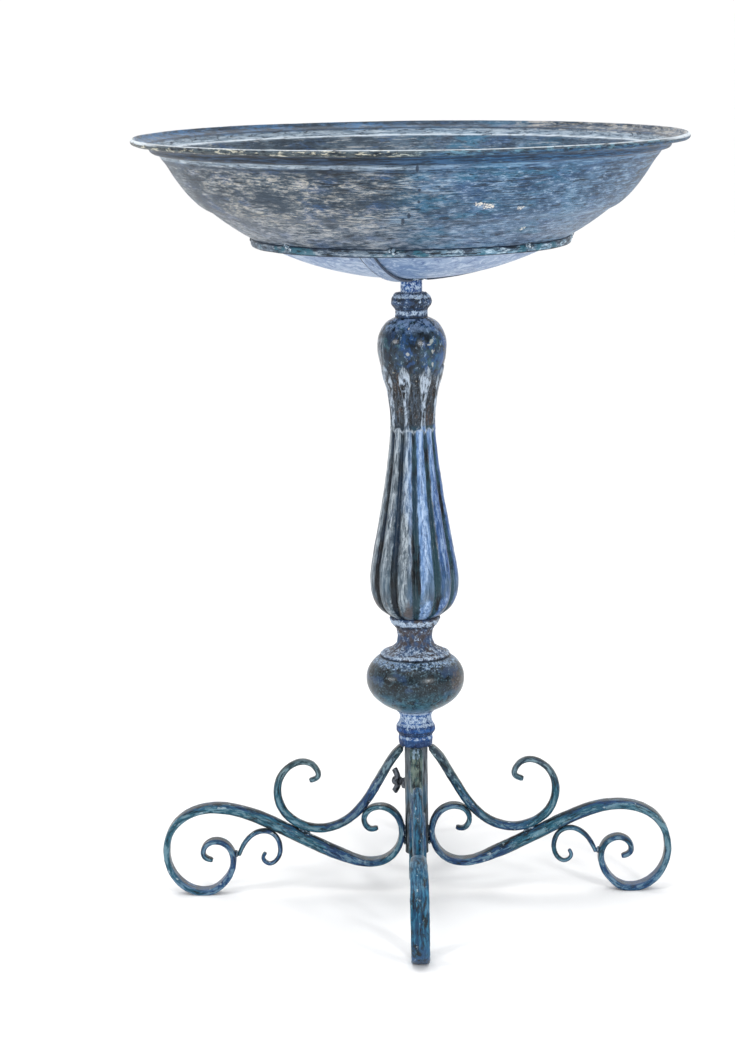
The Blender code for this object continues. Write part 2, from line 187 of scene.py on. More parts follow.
def skin(name, grid, closed_rows=False, caps=False, attributes=None):
    """A mesh over a grid of points in millimetres: rows by columns, the columns meeting in a ring."""
    rows, columns = grid.shape[:2]
    vertices = list(grid.reshape(-1, 3) * MM)
    i = np.arange(rows if closed_rows else rows - 1)[:, None]
    j = np.arange(columns)[None, :]
    after_i = (i + 1) % rows
    after_j = (j + 1) % columns
    around_face = ((i, j), (after_i, j), (after_i, after_j), (i, after_j))
    corners = [row * columns + column for row, column in around_face]
    faces = np.stack(corners, axis=-1).reshape(-1, 4).tolist()
    given = (attributes or {}).items()
    values = {key: [np.asarray(value).reshape(rows * columns, -1)] for key, value in given}
    for row in (0, rows - 1) if caps else ():
        centre = len(vertices)
        vertices.append(grid[row].mean(axis=0) * MM)
        start = row * columns
        faces += [(centre, start + k, start + (k + 1) % columns) for k in range(columns)]
        for value in values.values():
            value.append(value[0][start:start + columns].mean(axis=0, keepdims=True))
    mesh = bpy.data.meshes.new(name)
    mesh.from_pydata([tuple(v) for v in vertices], [], faces)
    for key, parts in values.items():
        data = np.concatenate(parts).astype(np.float32)
        kind, field = ("FLOAT_VECTOR", "vector") if data.shape[1] == 3 else ("FLOAT", "value")
        mesh.attributes.new(key, kind, "POINT").data.foreach_set(field, data.ravel())
    builder = bmesh.new()
    builder.from_mesh(mesh)
    bmesh.ops.recalc_face_normals(builder, faces=builder.faces)
    builder.to_mesh(mesh)
    builder.free()
    return mesh


def read(mesh, field="co"):
    """A field of a mesh's vertices, a row for each."""
    data = np.empty(len(mesh.vertices) * 3, dtype=np.float32)
    mesh.vertices.foreach_get(field, data)
    return data.reshape(-1, 3)


def move(mesh, places):
    mesh.vertices.foreach_set("co", places.astype(np.float32).ravel())
    mesh.update()


def roughen(mesh, terms):
    """Moves the vertices along their normals by noise: (height in mm, size in mm, seed) for each term."""
    places = read(mesh)
    amount = np.zeros(len(places))
    for height, size, seed in terms:
        shift = Vector((seed * 3.1, seed * 5.7, seed * 2.3))
        scaled = places / (size * MM)
        amount += height * np.array([noise.noise(Vector(p) + shift) for p in scaled.tolist()])
    move(mesh, places + read(mesh, "normal") * (amount * MM)[:, None])


def turned(name, side, steps=ROUND_STEPS, closed=True, shape=None, attributes=None):
    """A solid of revolution whose side is a list of (radius, height); shape may alter the radius."""
    side = np.asarray(side, dtype=float)
    angle = np.linspace(0, 2 * math.pi, steps, endpoint=False)[None, :]
    radius, height = (np.repeat(side[:, k:k + 1], steps, axis=1) for k in (0, 1))
    azimuth = np.degrees(angle) + np.zeros_like(radius)
    if shape:
        radius = shape(radius, height, azimuth)
    grid = np.stack((radius * np.cos(angle), radius * np.sin(angle), height), axis=-1)
    marks = attributes(radius, height, azimuth) if attributes else None
    return skin(name, grid, closed_rows=closed, caps=not closed, attributes=marks)


def outline(thickness, width, squareness, sides):
    """Superellipse outlines, one row for each section."""
    angle = 2 * math.pi * (np.arange(sides) + 0.5)[None, :] / sides
    power = 2 / squareness[:, None]
    halves = ((thickness, np.cos(angle)), (width, np.sin(angle)))
    return [0.5 * size[:, None] * np.sign(c) * np.abs(c) ** power for size, c in halves]


def bar(name, line, sections, rings, sides, azimuth, floor=None, sway=0, skew=0):
    """A bar lofted along a line in the upright plane at an azimuth, with blunt ends.

    The grain attribute runs along the bar, so that brush marks follow it, and edge is 1 at its sides.
    """
    point, tangent, share = spline(line, rings)
    table = np.array(sections, dtype=float)
    thickness, width, squareness = (np.interp(share, table[:, 0], table[:, k]) for k in (1, 2, 3))
    length = float(np.linalg.norm(np.diff(point, axis=0), axis=1).sum())
    closing = np.ones(rings)
    closing[[0, -1]] = 0.74
    across, side = outline(thickness * closing, width * closing, squareness, sides)
    r = point[:, :1] - tangent[:, 1:] * across
    z = point[:, 1:] + tangent[:, :1] * across
    if floor is not None:
        z = np.maximum(z, floor)
    lean = (sway * np.sin(share * 9) + skew * step_down(0.02, 0.16, share))[:, None]
    turn = math.radians(azimuth)
    x = r * math.cos(turn) - (side + lean) * math.sin(turn)
    y = r * math.sin(turn) + (side + lean) * math.cos(turn)
    along = np.repeat(share[:, None] * length + azimuth * 7, sides, axis=1)
    marks = {
        "grain": np.stack((along, across, side), axis=-1) * MM,
        "edge": np.abs(side) / (0.5 * width[:, None]),
    }
    return skin(name, np.stack((x, y, z), axis=-1), caps=True, attributes=marks)


def lumps(name, blobs):
    """Blobs of weld metal, uneven drops, each given by its centre, its size, an azimuth and a tilt."""
    builder = bmesh.new()
    for k, (centre, size, azimuth, tilt) in enumerate(blobs):
        seed = 1.7 * k + 0.5
        made = bmesh.ops.create_icosphere(builder, subdivisions=3, radius=1)["verts"]
        turn = Matrix.Rotation(math.radians(azimuth), 3, "Z") @ Matrix.Rotation(math.radians(tilt), 3, "Y")
        for vertex in made:
            swell = 1 + 0.28 * noise.noise(vertex.co * 1.4 + Vector((seed, 0, 0)))
            swell += 0.12 * noise.noise(vertex.co * 4 + Vector((0, seed, 0)))
            local = Vector([c * s for c, s in zip(vertex.co * swell, size)])
            vertex.co = (turn @ local + Vector(centre)) * MM
    mesh = bpy.data.meshes.new(name)
    builder.to_mesh(mesh)
    builder.free()
    return mesh


def around(radius, azimuth, height):
    turn = math.radians(azimuth)
    return (radius * math.cos(turn), radius * math.sin(turn), height)


def settle(mesh, node):
    """Fits a mesh to the box of the CAD node it stands for."""
    places = read(mesh)
    low, high = (np.array(corner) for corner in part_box(node))
    now_low = places.min(axis=0)
    move(mesh, low + (places - now_low) * (high - low) / (places.max(axis=0) - now_low))


def piece(name, mesh, material, body, nodes=(), crease=None):
    """Puts a mesh in the scene as a piece that rides on a body and may stand for CAD nodes."""
    obj = bpy.data.objects.new(name, mesh)
    bpy.context.scene.collection.objects.link(obj)
    mesh.materials.append(material)
    mesh.shade_smooth()
    if crease is not None:
        mesh.set_sharp_from_angle(angle=math.radians(crease))
    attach(obj, body)
    if nodes:
        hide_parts(*nodes)


def cast(name, node, side, material, body, slot, bumps, **form):
    """A turned and roughened piece that stands for one round CAD node."""
    mesh = turned(name, side, **form)
    roughen(mesh, bumps)
    settle(mesh, node)
    piece(name, mesh, material, body, [node])


def bored(side, bore, low, high):
    """A side closed by a bore."""
    return np.concatenate(([(bore, low), (bore, high)], side))


# ---------------------------------------------------------------- materials

INK = (20, 26, 30)
TEAL = (38, 92, 110)
FROST = (190, 206, 222)
CREAM = (184, 178, 166)
RUST = (84, 70, 62)


def tone(colour):
    """A screen colour, 0 to 255, as the linear colour that a shader takes."""
    return tuple(((c / 255 + 0.055) / 1.055) ** 2.4 if c > 10 else c / 3294 for c in colour) + (1,)


class Nodes:
    """Shader nodes in a tree.

    A mask is a number, an output, the name of a mesh's attribute or (value, low, high) for a window.
    """

    def __init__(self, tree):
        self.tree = tree

    def add(self, kind, output, inputs, **settings):
        """A node with its settings and inputs; an input is a constant or another node's output."""
        node = self.tree.nodes.new("ShaderNode" + kind)
        for key, value in settings.items():
            setattr(node, key, value)
        for key, value in inputs.items():
            self.put(node.inputs[key], value)
        return node.outputs[output]

    def attribute(self, name, output="Fac"):
        return self.add("Attribute", output, {}, attribute_name=name)

    def put(self, socket, value):
        """Sets an input, or links it: a text is the name of one of the mesh's own attributes."""
        if isinstance(value, str):
            value = self.attribute(value)
        if isinstance(value, bpy.types.NodeSocket):
            self.tree.links.new(value, socket)
        else:
            socket.default_value = value

    def window(self, value, low, high, bottom=0, top=1):
        """Bottom where value is at low, top where it is at high, and smooth between."""
        ends = {"From Min": low, "From Max": high, "To Min": bottom, "To Max": top}
        return self.add("MapRange", "Result", {"Value": value, **ends}, interpolation_type="SMOOTHSTEP")

    def math(self, operation, a, b=0):
        return self.add("Math", "Value", {0: a, 1: b}, operation=operation)

    def mask(self, value):
        return self.window(*value) if isinstance(value, tuple) else value

    def times(self, *masks):
        product = self.mask(masks[0])
        for mask in masks[1:]:
            product = self.math("MULTIPLY", product, self.mask(mask))
        return product

    def plus(self, *terms):
        total = terms[0]
        for term in terms[1:]:
            total = self.math("ADD", total, term)
        return total

    def rest(self, value):
        return self.math("SUBTRACT", 1, value)

    def swing(self, value, size):
        """Noise that swings both ways round 0."""
        return self.times(self.math("SUBTRACT", value, 0.5), size)

    def axis(self, name, vector):
        """One coordinate of a vector, in metres."""
        return self.add("SeparateXYZ", name, {"Vector": vector})


class Paint(Nodes):
    """A material painted in layers, each a screen colour laid through masks, on one Principled shader."""

    def __init__(self, name, grain=False):
        self.material = bpy.data.materials.new(name)
        self.material.use_nodes = True
        super().__init__(self.material.node_tree)
        self.place = self.add("TexCoord", "Object", {})
        self.brush = self.attribute("grain", "Vector") if grain else self.place
        self.colour = None

    def axis(self, name):
        return super().axis(name, self.place)

    def noise(self, frequency, detail=5, rough=0.6, distort=0, shift=0, brush=True):
        """Noise with its own frequency, in cycles a metre, along each axis of the brush or of space."""
        place = self.add("Mapping", "Vector", {
            "Scale": frequency, "Location": (shift, shift * 0.7, shift * 1.3),
            "Vector": self.brush if brush else self.place,
        })
        return self.add("TexNoise", "Fac", {
            "Vector": place, "Scale": 1, "Detail": detail, "Roughness": rough, "Distortion": distort
        })

    def mix(self, mask, under, over):
        under, over = (tone(c) if isinstance(c, tuple) else c for c in (under, over))
        return self.add("Mix", "Result", {"Factor": self.mask(mask), "A": under, "B": over}, data_type="RGBA")

    def over(self, under, *layers):
        """A colour with others laid over it, each as far as all its masks let it through."""
        for colour, *masks in layers:
            under = self.mix(self.times(*masks), under, colour)
        return under

    def lay(self, colour, *masks):
        self.colour = self.over(self.colour, (colour, *masks))

    def facing_up(self, low, high):
        """1 on faces that look up, 0 on those that don't."""
        return self.window(super().axis("Z", self.add("NewGeometry", "Normal", {})), low, high)

    def spot(self, centre, radius, ragged=0.5, stretch=(1, 1, 1)):
        """1 within a ragged patch round a point, given in millimetres."""
        place = self.add("Mapping", "Vector", {"Scale": stretch, "Vector": self.place}, vector_type="POINT")
        middle = [c * s * MM for c, s in zip(centre, stretch)]
        far = self.add("VectorMath", "Value", {0: place, 1: middle}, operation="DISTANCE")
        wobble = self.noise((260, 260, 260), detail=4, brush=False)
        edge = self.swing(wobble, ragged * 2 * radius * MM)
        return self.window(self.plus(far, edge), radius * MM, 0.75 * radius * MM)

    def finish(self, roughness, metallic=0, bumps=(), specular=0.26):
        """Wires the shader; each bump is (noise, height in mm, strength)."""
        shader = self.tree.nodes["Principled BSDF"].inputs
        self.put(shader["Base Color"], self.colour)
        self.put(shader["Roughness"], roughness)
        shader["Metallic"].default_value = metallic
        shader["Specular IOR Level"].default_value = specular
        normal = {}
        for height, distance, strength in bumps:
            inputs = {"Strength": strength, "Distance": distance * MM, "Height": height, **normal}
            normal = {"Normal": self.add("Bump", "Normal", inputs)}
        self.put(shader["Normal"], normal["Normal"])
        return self.material


def bowl_paint():
    """Cream brushed over slate on the left, steel blue and teal on the right, painted shade under the lip and
    painted highlights along the lip and ledge.
    """
    p = Paint("bowl_paint")
    x = p.axis("X")
    broad = p.noise((9, 9, 14), detail=3)
    patch = p.noise((26, 26, 64), detail=8, rough=0.72, shift=4)
    dab = p.noise((110, 110, 520), detail=9, rough=0.78, distort=0.4, shift=9)
    hair = p.noise((48, 48, 720), detail=6, rough=0.72, distort=0.2, shift=2)
    grit = p.noise((420, 420, 620), detail=4, rough=0.7, shift=6)
    outside = p.attribute("outside")
    right = p.window(p.plus(x, p.swing(patch, 0.22)), -0.05, 0.07)
    right = p.times(right, p.plus(0.35, p.times(outside, 0.65)))
    p.colour = p.mix((patch, 0.36, 0.62), (40, 54, 68), (72, 88, 102))
    p.lay(p.mix((patch, 0.36, 0.62), (34, 64, 94), (76, 110, 142)), right)
    smudge = p.window(p.noise((30, 30, 60), detail=8, rough=0.7, distort=0.3, shift=15), 0.5, 0.64)
    p.lay((46, 80, 122), smudge, (dab, 0.4, 0.54), 0.7)
    teal = p.times((x, -0.03, 0.03), (x, 0.17, 0.09), (p.noise((26, 26, 90), shift=21), 0.47, 0.62))
    p.lay((40, 98, 128), teal, 0.75)
    p.lay((24, 34, 48), (dab, 0.47, 0.38), 0.88)
    facing = p.times((x, -0.225, -0.15), p.rest(p.times(right, 0.85)), "wall")
    creamy = p.times((dab, 0.47, 0.6), (patch, 0.4, 0.58), facing)
    p.lay(CREAM, creamy, 0.85)
    p.lay((154, 178, 204), (dab, 0.53, 0.63), p.plus(0.15, p.times(right, 0.85)), 0.65)
    p.lay(INK, (grit, 0.42, 0.3), 0.65)
    streaks = p.times((hair, 0.5, 0.43), (broad, 0.64, 0.42), p.plus(0.42, p.times("streak", 0.5)))
    p.lay((24, 30, 37), streaks)
    scratch = p.noise((26, 26, 900), detail=3, rough=0.6, shift=31)
    p.lay((16, 22, 30), (scratch, 0.4, 0.35), (dab, 0.58, 0.46), 0.9)
    p.lay(p.mix(right, (170, 172, 172), (136, 164, 186)), (hair, 0.55, 0.61), (patch, 0.42, 0.56), 0.6)
    p.lay((118, 132, 152), "hem", (dab, 0.44, 0.56), 0.35)
    p.lay(under_ring(p, dab), "under")
    flange = p.times(p.rest(outside), (p.axis("Z"), 0.6815, 0.684))
    p.lay((62, 108, 152), flange, (x, 0.06, -0.06), (patch, 0.42, 0.54), (dab, 0.42, 0.54), 0.8)
    p.lay((176, 170, 160), flange, (x, 0.08, 0.13), (dab, 0.46, 0.56), (patch, 0.38, 0.5), 0.8)
    brushes = p.window(hair, 0.42, 0.58)
    # The step's ledge: pale grey as a painted highlight, steel blue paint on the right outside.
    ledge_blue_and_highlight = p.over(
        p.mix(brushes, (112, 130, 146), (176, 190, 202)),
        (p.mix(brushes, (40, 72, 108), (104, 138, 168)), right, outside),
    )
    p.lay(ledge_blue_and_highlight, "shelf", (dab, 0.38, 0.52), 0.75)
    # Painted shade, dark navy with some pale patches, laid under the lip and in the corners of the step and
    # flange.
    deep = p.over(
        p.mix(right, (20, 27, 36), (16, 34, 54)),
        (p.mix(right, (44, 64, 88), (38, 80, 118)), (hair, 0.44, 0.58)),
        ((96, 134, 160), (dab, 0.55, 0.64), right, 0.5),
    )
    p.lay(deep, "crease", 0.94)
    rolled = p.mix((dab, 0.42, 0.58), (18, 27, 36), p.mix(right, (74, 84, 88), (40, 78, 112)))
    p.lay(rolled, "lip", 0.9)
    speck = p.noise((90, 90, 420), detail=7, rough=0.75, shift=3)
    flecks = p.times("lip", (speck, 0.53, 0.6), p.plus(0.9, p.times(right, -0.35)))
    p.lay(p.mix((x, -0.03, 0.03), (180, 178, 162), (96, 136, 154)), flecks)
    # Painted highlight: a pale line along the lip's top and along the edge of the inner ledge.
    p.lay((206, 216, 224), "shine", (dab, 0.36, 0.46), 0.85)
    bowl_marks(p, outside)
    rough = p.plus(0.34, p.times(creamy, 0.25), p.times(grit, 0.14))
    return p.finish(rough, bumps=((dab, 0.6, 0.5), (hair, 0.25, 0.5), (grit, 0.2, 0.35)), specular=0.2)


def under_ring(p, dab):
    """The mottled lilac blue below the hoop."""
    swirl = p.noise((110, 110, 110), detail=6, rough=0.65, distort=1.4, shift=12)
    return p.over(
        p.mix((p.noise((30, 30, 30), detail=4, shift=22), 0.4, 0.62), (94, 120, 156), (126, 146, 174)),
        ((178, 192, 208), (swirl, 0.5, 0.62), 0.6),
        ((60, 88, 132), (swirl, 0.46, 0.36), 0.85),
        ((58, 76, 100), (dab, 0.42, 0.34), 0.6),
    )


def bowl_marks(p, outside):
    """A pale scrape and its neighbours, and a dark drip down the front."""
    chips = (
        ((55, -189, 643), 4.2, (1, 1, 1.2)), ((62, -185, 641), 5.2, (0.8, 0.8, 2.2)),
        ((89, -171, 638.5), 4.6, (1.4, 1.4, 1)), ((92, -138, 619), 3.2, (1.2, 1.2, 1)),
    )
    drips = (
        ((3.8, -219.5, 674.7), 2, (1.4, 0.3, 0.45)), ((5.4, -206.8, 656.2), 1.5, (1, 0.3, 0.8)),
        ((5.2, -199.6, 646.2), 1.4, (1, 0.3, 0.8)), ((-3, -190, 634), 2.2, (1.4, 0.3, 0.7)),
        ((-8, -182, 628.5), 3, (1.6, 0.3, 0.6)), ((25.7, -183, 631.4), 3, (0.6, 0.3, 1.4)),
    )
    flaking = p.window(p.noise((330, 330, 420), detail=4, distort=1.5, shift=51), 0.46, 0.52)
    kinds = ((chips, (200, 196, 188), 1.2, flaking), (drips, (28, 40, 56), 0.7, 0.85))
    for marks, colour, ragged, cover in kinds:
        for centre, radius, stretch in marks:
            p.lay(colour, p.spot(centre, radius, ragged, stretch), outside, cover)


def hoop_paint():
    p = Paint("hoop_paint")
    x = p.axis("X")
    patch = p.noise((40, 40, 90), detail=4)
    dab = p.noise((80, 80, 360), detail=7, rough=0.74, shift=5)
    right = p.window(x, -0.04, 0.06)
    p.colour = p.mix((patch, 0.42, 0.6), (58, 74, 92), p.mix(right, (92, 108, 124), (100, 134, 156)))
    p.lay(p.mix(right, (146, 158, 168), (176, 198, 212)), (dab, 0.51, 0.59), 0.85)
    p.lay(TEAL, (p.noise((60, 60, 60), shift=8), 0.53, 0.62), 0.8)
    p.lay(INK, (dab, 0.47, 0.41), 0.9)
    # Painted shade at the hoop's top and bottom edges.
    p.lay((20, 30, 46), "crease", 0.92)
    return p.finish(p.plus(0.34, p.times(dab, 0.25)), bumps=((dab, 0.5, 0.6),), specular=0.18)


def strap_paint():
    p = Paint("strap_paint", grain=True)
    patch = p.noise((40, 90, 90), detail=5, distort=0.8)
    dab = p.noise((90, 420, 420), detail=6, rough=0.7, shift=5)
    p.colour = p.mix((patch, 0.38, 0.6), (88, 112, 146), (124, 142, 168))
    p.lay((172, 186, 202), (dab, 0.52, 0.6), 0.6)
    p.lay((50, 68, 96), (dab, 0.45, 0.37), 0.8)
    p.lay((22, 34, 54), ("edge", 0.8, 0.88), 0.9)
    return p.finish(0.5, bumps=((dab, 0.4, 0.5),))


def crust_paint(name, base, under, frosting=0):
    """A crust of frosting broken over a blue or dark ground, black in its pits."""
    p = Paint(name)
    crust = p.noise((300, 300, 260), detail=7, rough=0.72, distort=1)
    grain = p.noise((900, 900, 900), detail=3, shift=3)
    p.colour = p.mix((p.noise((110, 110, 90), detail=4, shift=7), 0.42, 0.58), base, under)
    p.lay((92, 122, 158), (crust, 0.52, 0.62), 0.6)
    cover = p.plus(crust, p.times("frost", 0.16), frosting)
    p.lay(p.mix((grain, 0.4, 0.62), (136, 158, 184), FROST), (cover, 0.55, 0.64), 0.88)
    p.lay(INK, (crust, 0.44, 0.36), 0.9)
    # Painted shade in the grooves and joints, where the crease bands lie.
    p.lay((26, 32, 42), "crease", (crust, 0.66, 0.5), 0.92)
    rough = p.plus(0.3, p.times(grain, 0.3))
    return p.finish(rough, bumps=((crust, 1.1, 0.8), (grain, 0.3, 0.5)), specular=0.22)


# Chips in the bulb's paint: centre, radius and squeeze along each axis
COLUMN_CHIPS = (
    ((17, -25.6, 511), 2.4, (1, 0.4, 1.3)), ((14.5, -27.2, 508), 1.8, (0.8, 0.4, 1.6)),
    ((18, -25, 502), 1.6, (1.4, 0.4, 0.8)), ((17.6, -23.6, 490), 1.8, (1.2, 0.4, 0.7)),
    ((-4, -30.4, 500), 2.2, (1, 0.4, 1)),
)


def column_paint():
    """Black green and slate in the hollows, brushed grey and cobalt on the ribs, cream chips above."""
    p = Paint("column_paint")
    z = p.axis("Z")
    x = p.axis("X")
    wear = p.attribute("wear")
    broad = p.noise((26, 26, 14), detail=3)
    brushed = p.noise((520, 520, 38), detail=8, rough=0.74, distort=0.25, shift=3)
    patch = p.noise((80, 80, 34), detail=5, rough=0.65, shift=8)
    grit = p.noise((620, 620, 420), detail=4, rough=0.7, shift=5)
    wander = p.plus(x, p.swing(broad, 0.03))
    sea = p.window(wander, -0.004, 0.003)
    blue = p.window(wander, -0.008, 0.004)
    cobalt = p.window(x, 0.013, 0.02)
    rag = p.plus(p.swing(brushed, 0.5), p.swing(patch, 0.4))
    crest = p.times((p.plus(wear, rag), 0.58, 0.95), (brushed, 0.42, 0.58))
    streak = p.mix(blue, (140, 152, 162), (146, 172, 206))
    hollow = p.over(
        p.mix((patch, 0.42, 0.6), (14, 19, 24), (32, 40, 46)),
        ((40, 70, 82), sea, (patch, 0.38, 0.52), 0.8),
        ((28, 52, 76), (broad, 0.5, 0.62), 0.5),
        ((88, 106, 118), (brushed, 0.56, 0.64), 0.55),
    )
    rib = p.over(
        p.mix(blue, (76, 88, 98), (90, 122, 166)),
        ((42, 78, 130), cobalt),
        ((54, 78, 104), (patch, 0.54, 0.66), 0.6),
        (streak, (brushed, 0.48, 0.6), p.plus(0.85, p.times(cobalt, -0.35))),
        ((36, 48, 60), (brushed, 0.46, 0.38), 0.7),
        # Painted highlight along the crests of the ribs.
        (p.mix(blue, (190, 200, 208), (176, 198, 224)), crest, p.plus(0.58, p.times(cobalt, -0.25))),
        ((46, 72, 88), (z, 0.33, 0.285), (patch, 0.4, 0.56), 0.65),
        (RUST, (z, 0.292, 0.27), (patch, 0.5, 0.62), 0.7),
    )
    p.colour = p.mix((p.plus(wear, rag), 0.28, 0.5), hollow, rib)
    p.lay(neck_colour(p, wear, brushed, grit), (z, 0.432, 0.436), (z, 0.496, 0.488))
    p.lay(bulb_colour(p, patch, brushed), (p.plus(z, p.swing(patch, 0.03)), 0.476, 0.488))
    # Pale rims: painted highlight on the flute heads, pale paint on the leaf outlines and tips.
    p.lay((172, 184, 196), "rim", (brushed, 0.42, 0.56), 0.8)
    chips = p.window(p.noise((170, 170, 120), detail=5, distort=1, shift=41), 0.685, 0.7)
    p.lay((204, 200, 184), chips, (z, 0.43, 0.49))
    for centre, radius, stretch in COLUMN_CHIPS:
        p.lay((176, 180, 174), p.spot(centre, 0.8 * radius, 1.6, stretch), 0.65)
    p.lay((18, 23, 28), (grit, 0.42, 0.32), 0.6)
    rough = p.plus(0.16, p.times(wear, 0.16), p.times(grit, 0.14))
    bumps = ((brushed, 0.3, 0.35), (grit, 0.12, 0.3), (chips, 0.25, 0.5))
    return p.finish(rough, bumps=bumps, specular=0.22)


def neck_colour(p, wear, brushed, grit):
    """Between the flutes and the bulb: brown black valleys and leaves brushed with grey."""
    blot = p.noise((150, 150, 70), detail=6, rough=0.7, distort=0.6, shift=37)
    brown = p.window(p.noise((70, 70, 60), detail=4, shift=47), 0.5, 0.6)
    valley = p.over(
        p.mix((blot, 0.42, 0.56), (14, 17, 21), p.mix(brown, (48, 57, 66), (60, 49, 44))),
        ((74, 92, 112), (brushed, 0.52, 0.62), 0.7),
        ((120, 128, 136), (grit, 0.56, 0.66), 0.6),
    )
    crest = p.over(
        p.mix((blot, 0.44, 0.56), (92, 106, 122), (160, 174, 190)),
        ((34, 42, 50), (brushed, 0.5, 0.42), 0.9),
        ((190, 201, 212), (brushed, 0.56, 0.64), 0.7),
    )
    rag = p.plus(p.swing(blot, 2.2), p.swing(brushed, 1.8))
    return p.mix((p.plus(wear, rag), 0.36, 0.62), valley, crest)


def bulb_colour(p, patch, brushed):
    """Dark glossy lobes with patches of cobalt and teal, frosted on the shoulder."""
    x = p.axis("X")
    blot = p.noise((120, 120, 80), detail=8, rough=0.72, distort=0.2, shift=17)
    teal = p.noise((80, 80, 90), detail=6, rough=0.65, shift=27)
    flake = p.noise((230, 230, 150), detail=8, rough=0.74, distort=0.15, shift=5)
    return p.over(
        p.mix((patch, 0.38, 0.62), (18, 25, 32), (40, 58, 72)),
        ((40, 74, 120), (blot, 0.49, 0.6), (x, -0.026, -0.008), 0.85),
        ((60, 96, 106), (teal, 0.52, 0.66), 0.7),
        ((38, 76, 130), (x, 0.017, 0.026), (blot, 0.42, 0.54), 0.65),
        ((138, 162, 184), (flake, 0.57, 0.64), 0.75),
        # Pale brushed streaks down the bulb's left edge: painted highlight, partly frost.
        ((158, 168, 180), (x, -0.023, -0.029), (brushed, 0.47, 0.58), 0.75),
        ((12, 16, 20), (flake, 0.45, 0.38), 0.8),
        ((126, 150, 184), (p.axis("Z"), 0.515, 0.527), (flake, 0.44, 0.54), 0.85),
    )


def ball_paint():
    """Glossy black slate and teal, with pale frosting round its top and foot."""
    p = Paint("ball_paint")
    z = p.axis("Z")
    broad = p.noise((26, 26, 40), detail=4)
    cloud = p.noise((130, 130, 170), detail=8, rough=0.74, distort=0.4, shift=4)
    grit = p.noise((560, 560, 560), detail=4, rough=0.7, shift=9)
    crust = p.noise((300, 300, 420), detail=7, rough=0.72, distort=1, shift=2)
    p.colour = p.mix((broad, 0.4, 0.6), (10, 14, 16), (25, 37, 44))
    p.lay((44, 66, 80), (cloud, 0.44, 0.64), 0.6)
    p.lay((42, 64, 94), (p.noise((50, 50, 80), detail=4, shift=14), 0.52, 0.62), 0.7)
    low = p.window(p.plus(z, p.swing(broad, 0.03)), 0.2, 0.185)
    p.lay((44, 96, 116), low, (cloud, 0.38, 0.6), 0.65)
    p.lay((96, 142, 158), low, (crust, 0.53, 0.6), 0.45)
    p.lay((82, 66, 56), p.spot((38, -22, 203), 11, 0.8), (grit, 0.4, 0.6), 0.8)
    p.lay((96, 124, 138), (grit, 0.54, 0.64), 0.6)
    top = p.window(p.plus(z, p.swing(crust, 0.03)), 0.2165, 0.2215)
    foot = p.window(p.plus(z, p.swing(crust, -0.016)), 0.1765, 0.1725)
    frost = p.times(p.math("MAXIMUM", top, foot), (crust, 0.42, 0.54), 0.9)
    p.lay(p.mix((grit, 0.4, 0.6), (66, 102, 142), (166, 188, 210)), frost)
    # Painted shade under the cove's foot.
    p.lay((24, 30, 38), "crease", 0.9)
    rough = p.plus(0.2, p.times(cloud, 0.16), p.times(frost, 0.3))
    return p.finish(rough, bumps=((crust, 0.25, 0.25), (grit, 0.1, 0.3)), specular=0.28)


def leg_paint():
    """Black green along the middle of each bar, teal and cobalt at its edges, grey where it faces up."""
    p = Paint("leg_paint", grain=True)
    z = p.axis("Z")
    broad = p.noise((14, 60, 60), detail=3)
    brushed = p.noise((90, 620, 520), detail=7, rough=0.74, distort=0.4, shift=3)
    patch = p.noise((80, 260, 220), detail=7, rough=0.72, distort=0.5, shift=8)
    grit = p.noise((600, 600, 600), detail=4, rough=0.7, shift=5)
    p.colour = p.mix((broad, 0.4, 0.58), (15, 20, 22), (27, 38, 44))
    blue = p.mix((broad, 0.44, 0.6), (30, 82, 102), (28, 62, 106))
    rag = p.plus(p.swing(patch, 2.6), p.swing(brushed, 1))
    p.lay(blue, (p.plus("edge", rag), 0.5, 0.85), 0.85)
    p.lay(blue, (patch, 0.53, 0.62), 0.75)
    p.lay((70, 124, 146), (brushed, 0.55, 0.62), 0.6)
    p.lay((16, 21, 24), (brushed, 0.48, 0.4), 0.9)
    high = p.times((z, 0.096, 0.116), (brushed, 0.4, 0.52), 0.75)
    p.lay(p.mix((patch, 0.44, 0.56), (40, 50, 50), (96, 110, 112)), high)
    olive = p.times(p.spot((0, -24, 116), 20, 0.5, (1, 0.8, 0.8)), (brushed, 0.42, 0.54), 0.7)
    p.lay(p.mix((patch, 0.42, 0.56), (52, 84, 86), (104, 116, 100)), olive)
    p.lay((132, 158, 182), p.spot((0, -18.6, 133), 5.5, 1, (1.2, 0.8, 0.8)), (patch, 0.42, 0.52), 0.75)
    front = p.times((p.axis("Y"), -0.05, -0.1), (patch, 0.4, 0.52), 0.8)
    p.lay(p.mix((brushed, 0.44, 0.58), (18, 58, 88), (46, 104, 134)), front)
    p.lay((34, 72, 116), (z, 0.034, 0.008), (patch, 0.42, 0.56), 0.75)
    up = p.times(p.facing_up(0.6, 1), (brushed, 0.5, 0.6), 0.4)
    p.lay((104, 122, 132), up)
    # Painted highlight along the sides of each bar.
    p.lay((124, 156, 168), ("edge", 0.9, 0.97), (patch, 0.48, 0.56), 0.6, 0.8)
    chips = p.window(p.noise((140, 240, 240), detail=5, shift=33), 0.64, 0.67)
    p.lay((160, 176, 184), chips, 0.7)
    rough = p.plus(0.22, p.times(brushed, 0.2), p.times(up, 0.1))
    return p.finish(rough, bumps=((brushed, 0.5, 0.6), (patch, 0.5, 0.5), (grit, 0.15, 0.4)), specular=0.22)


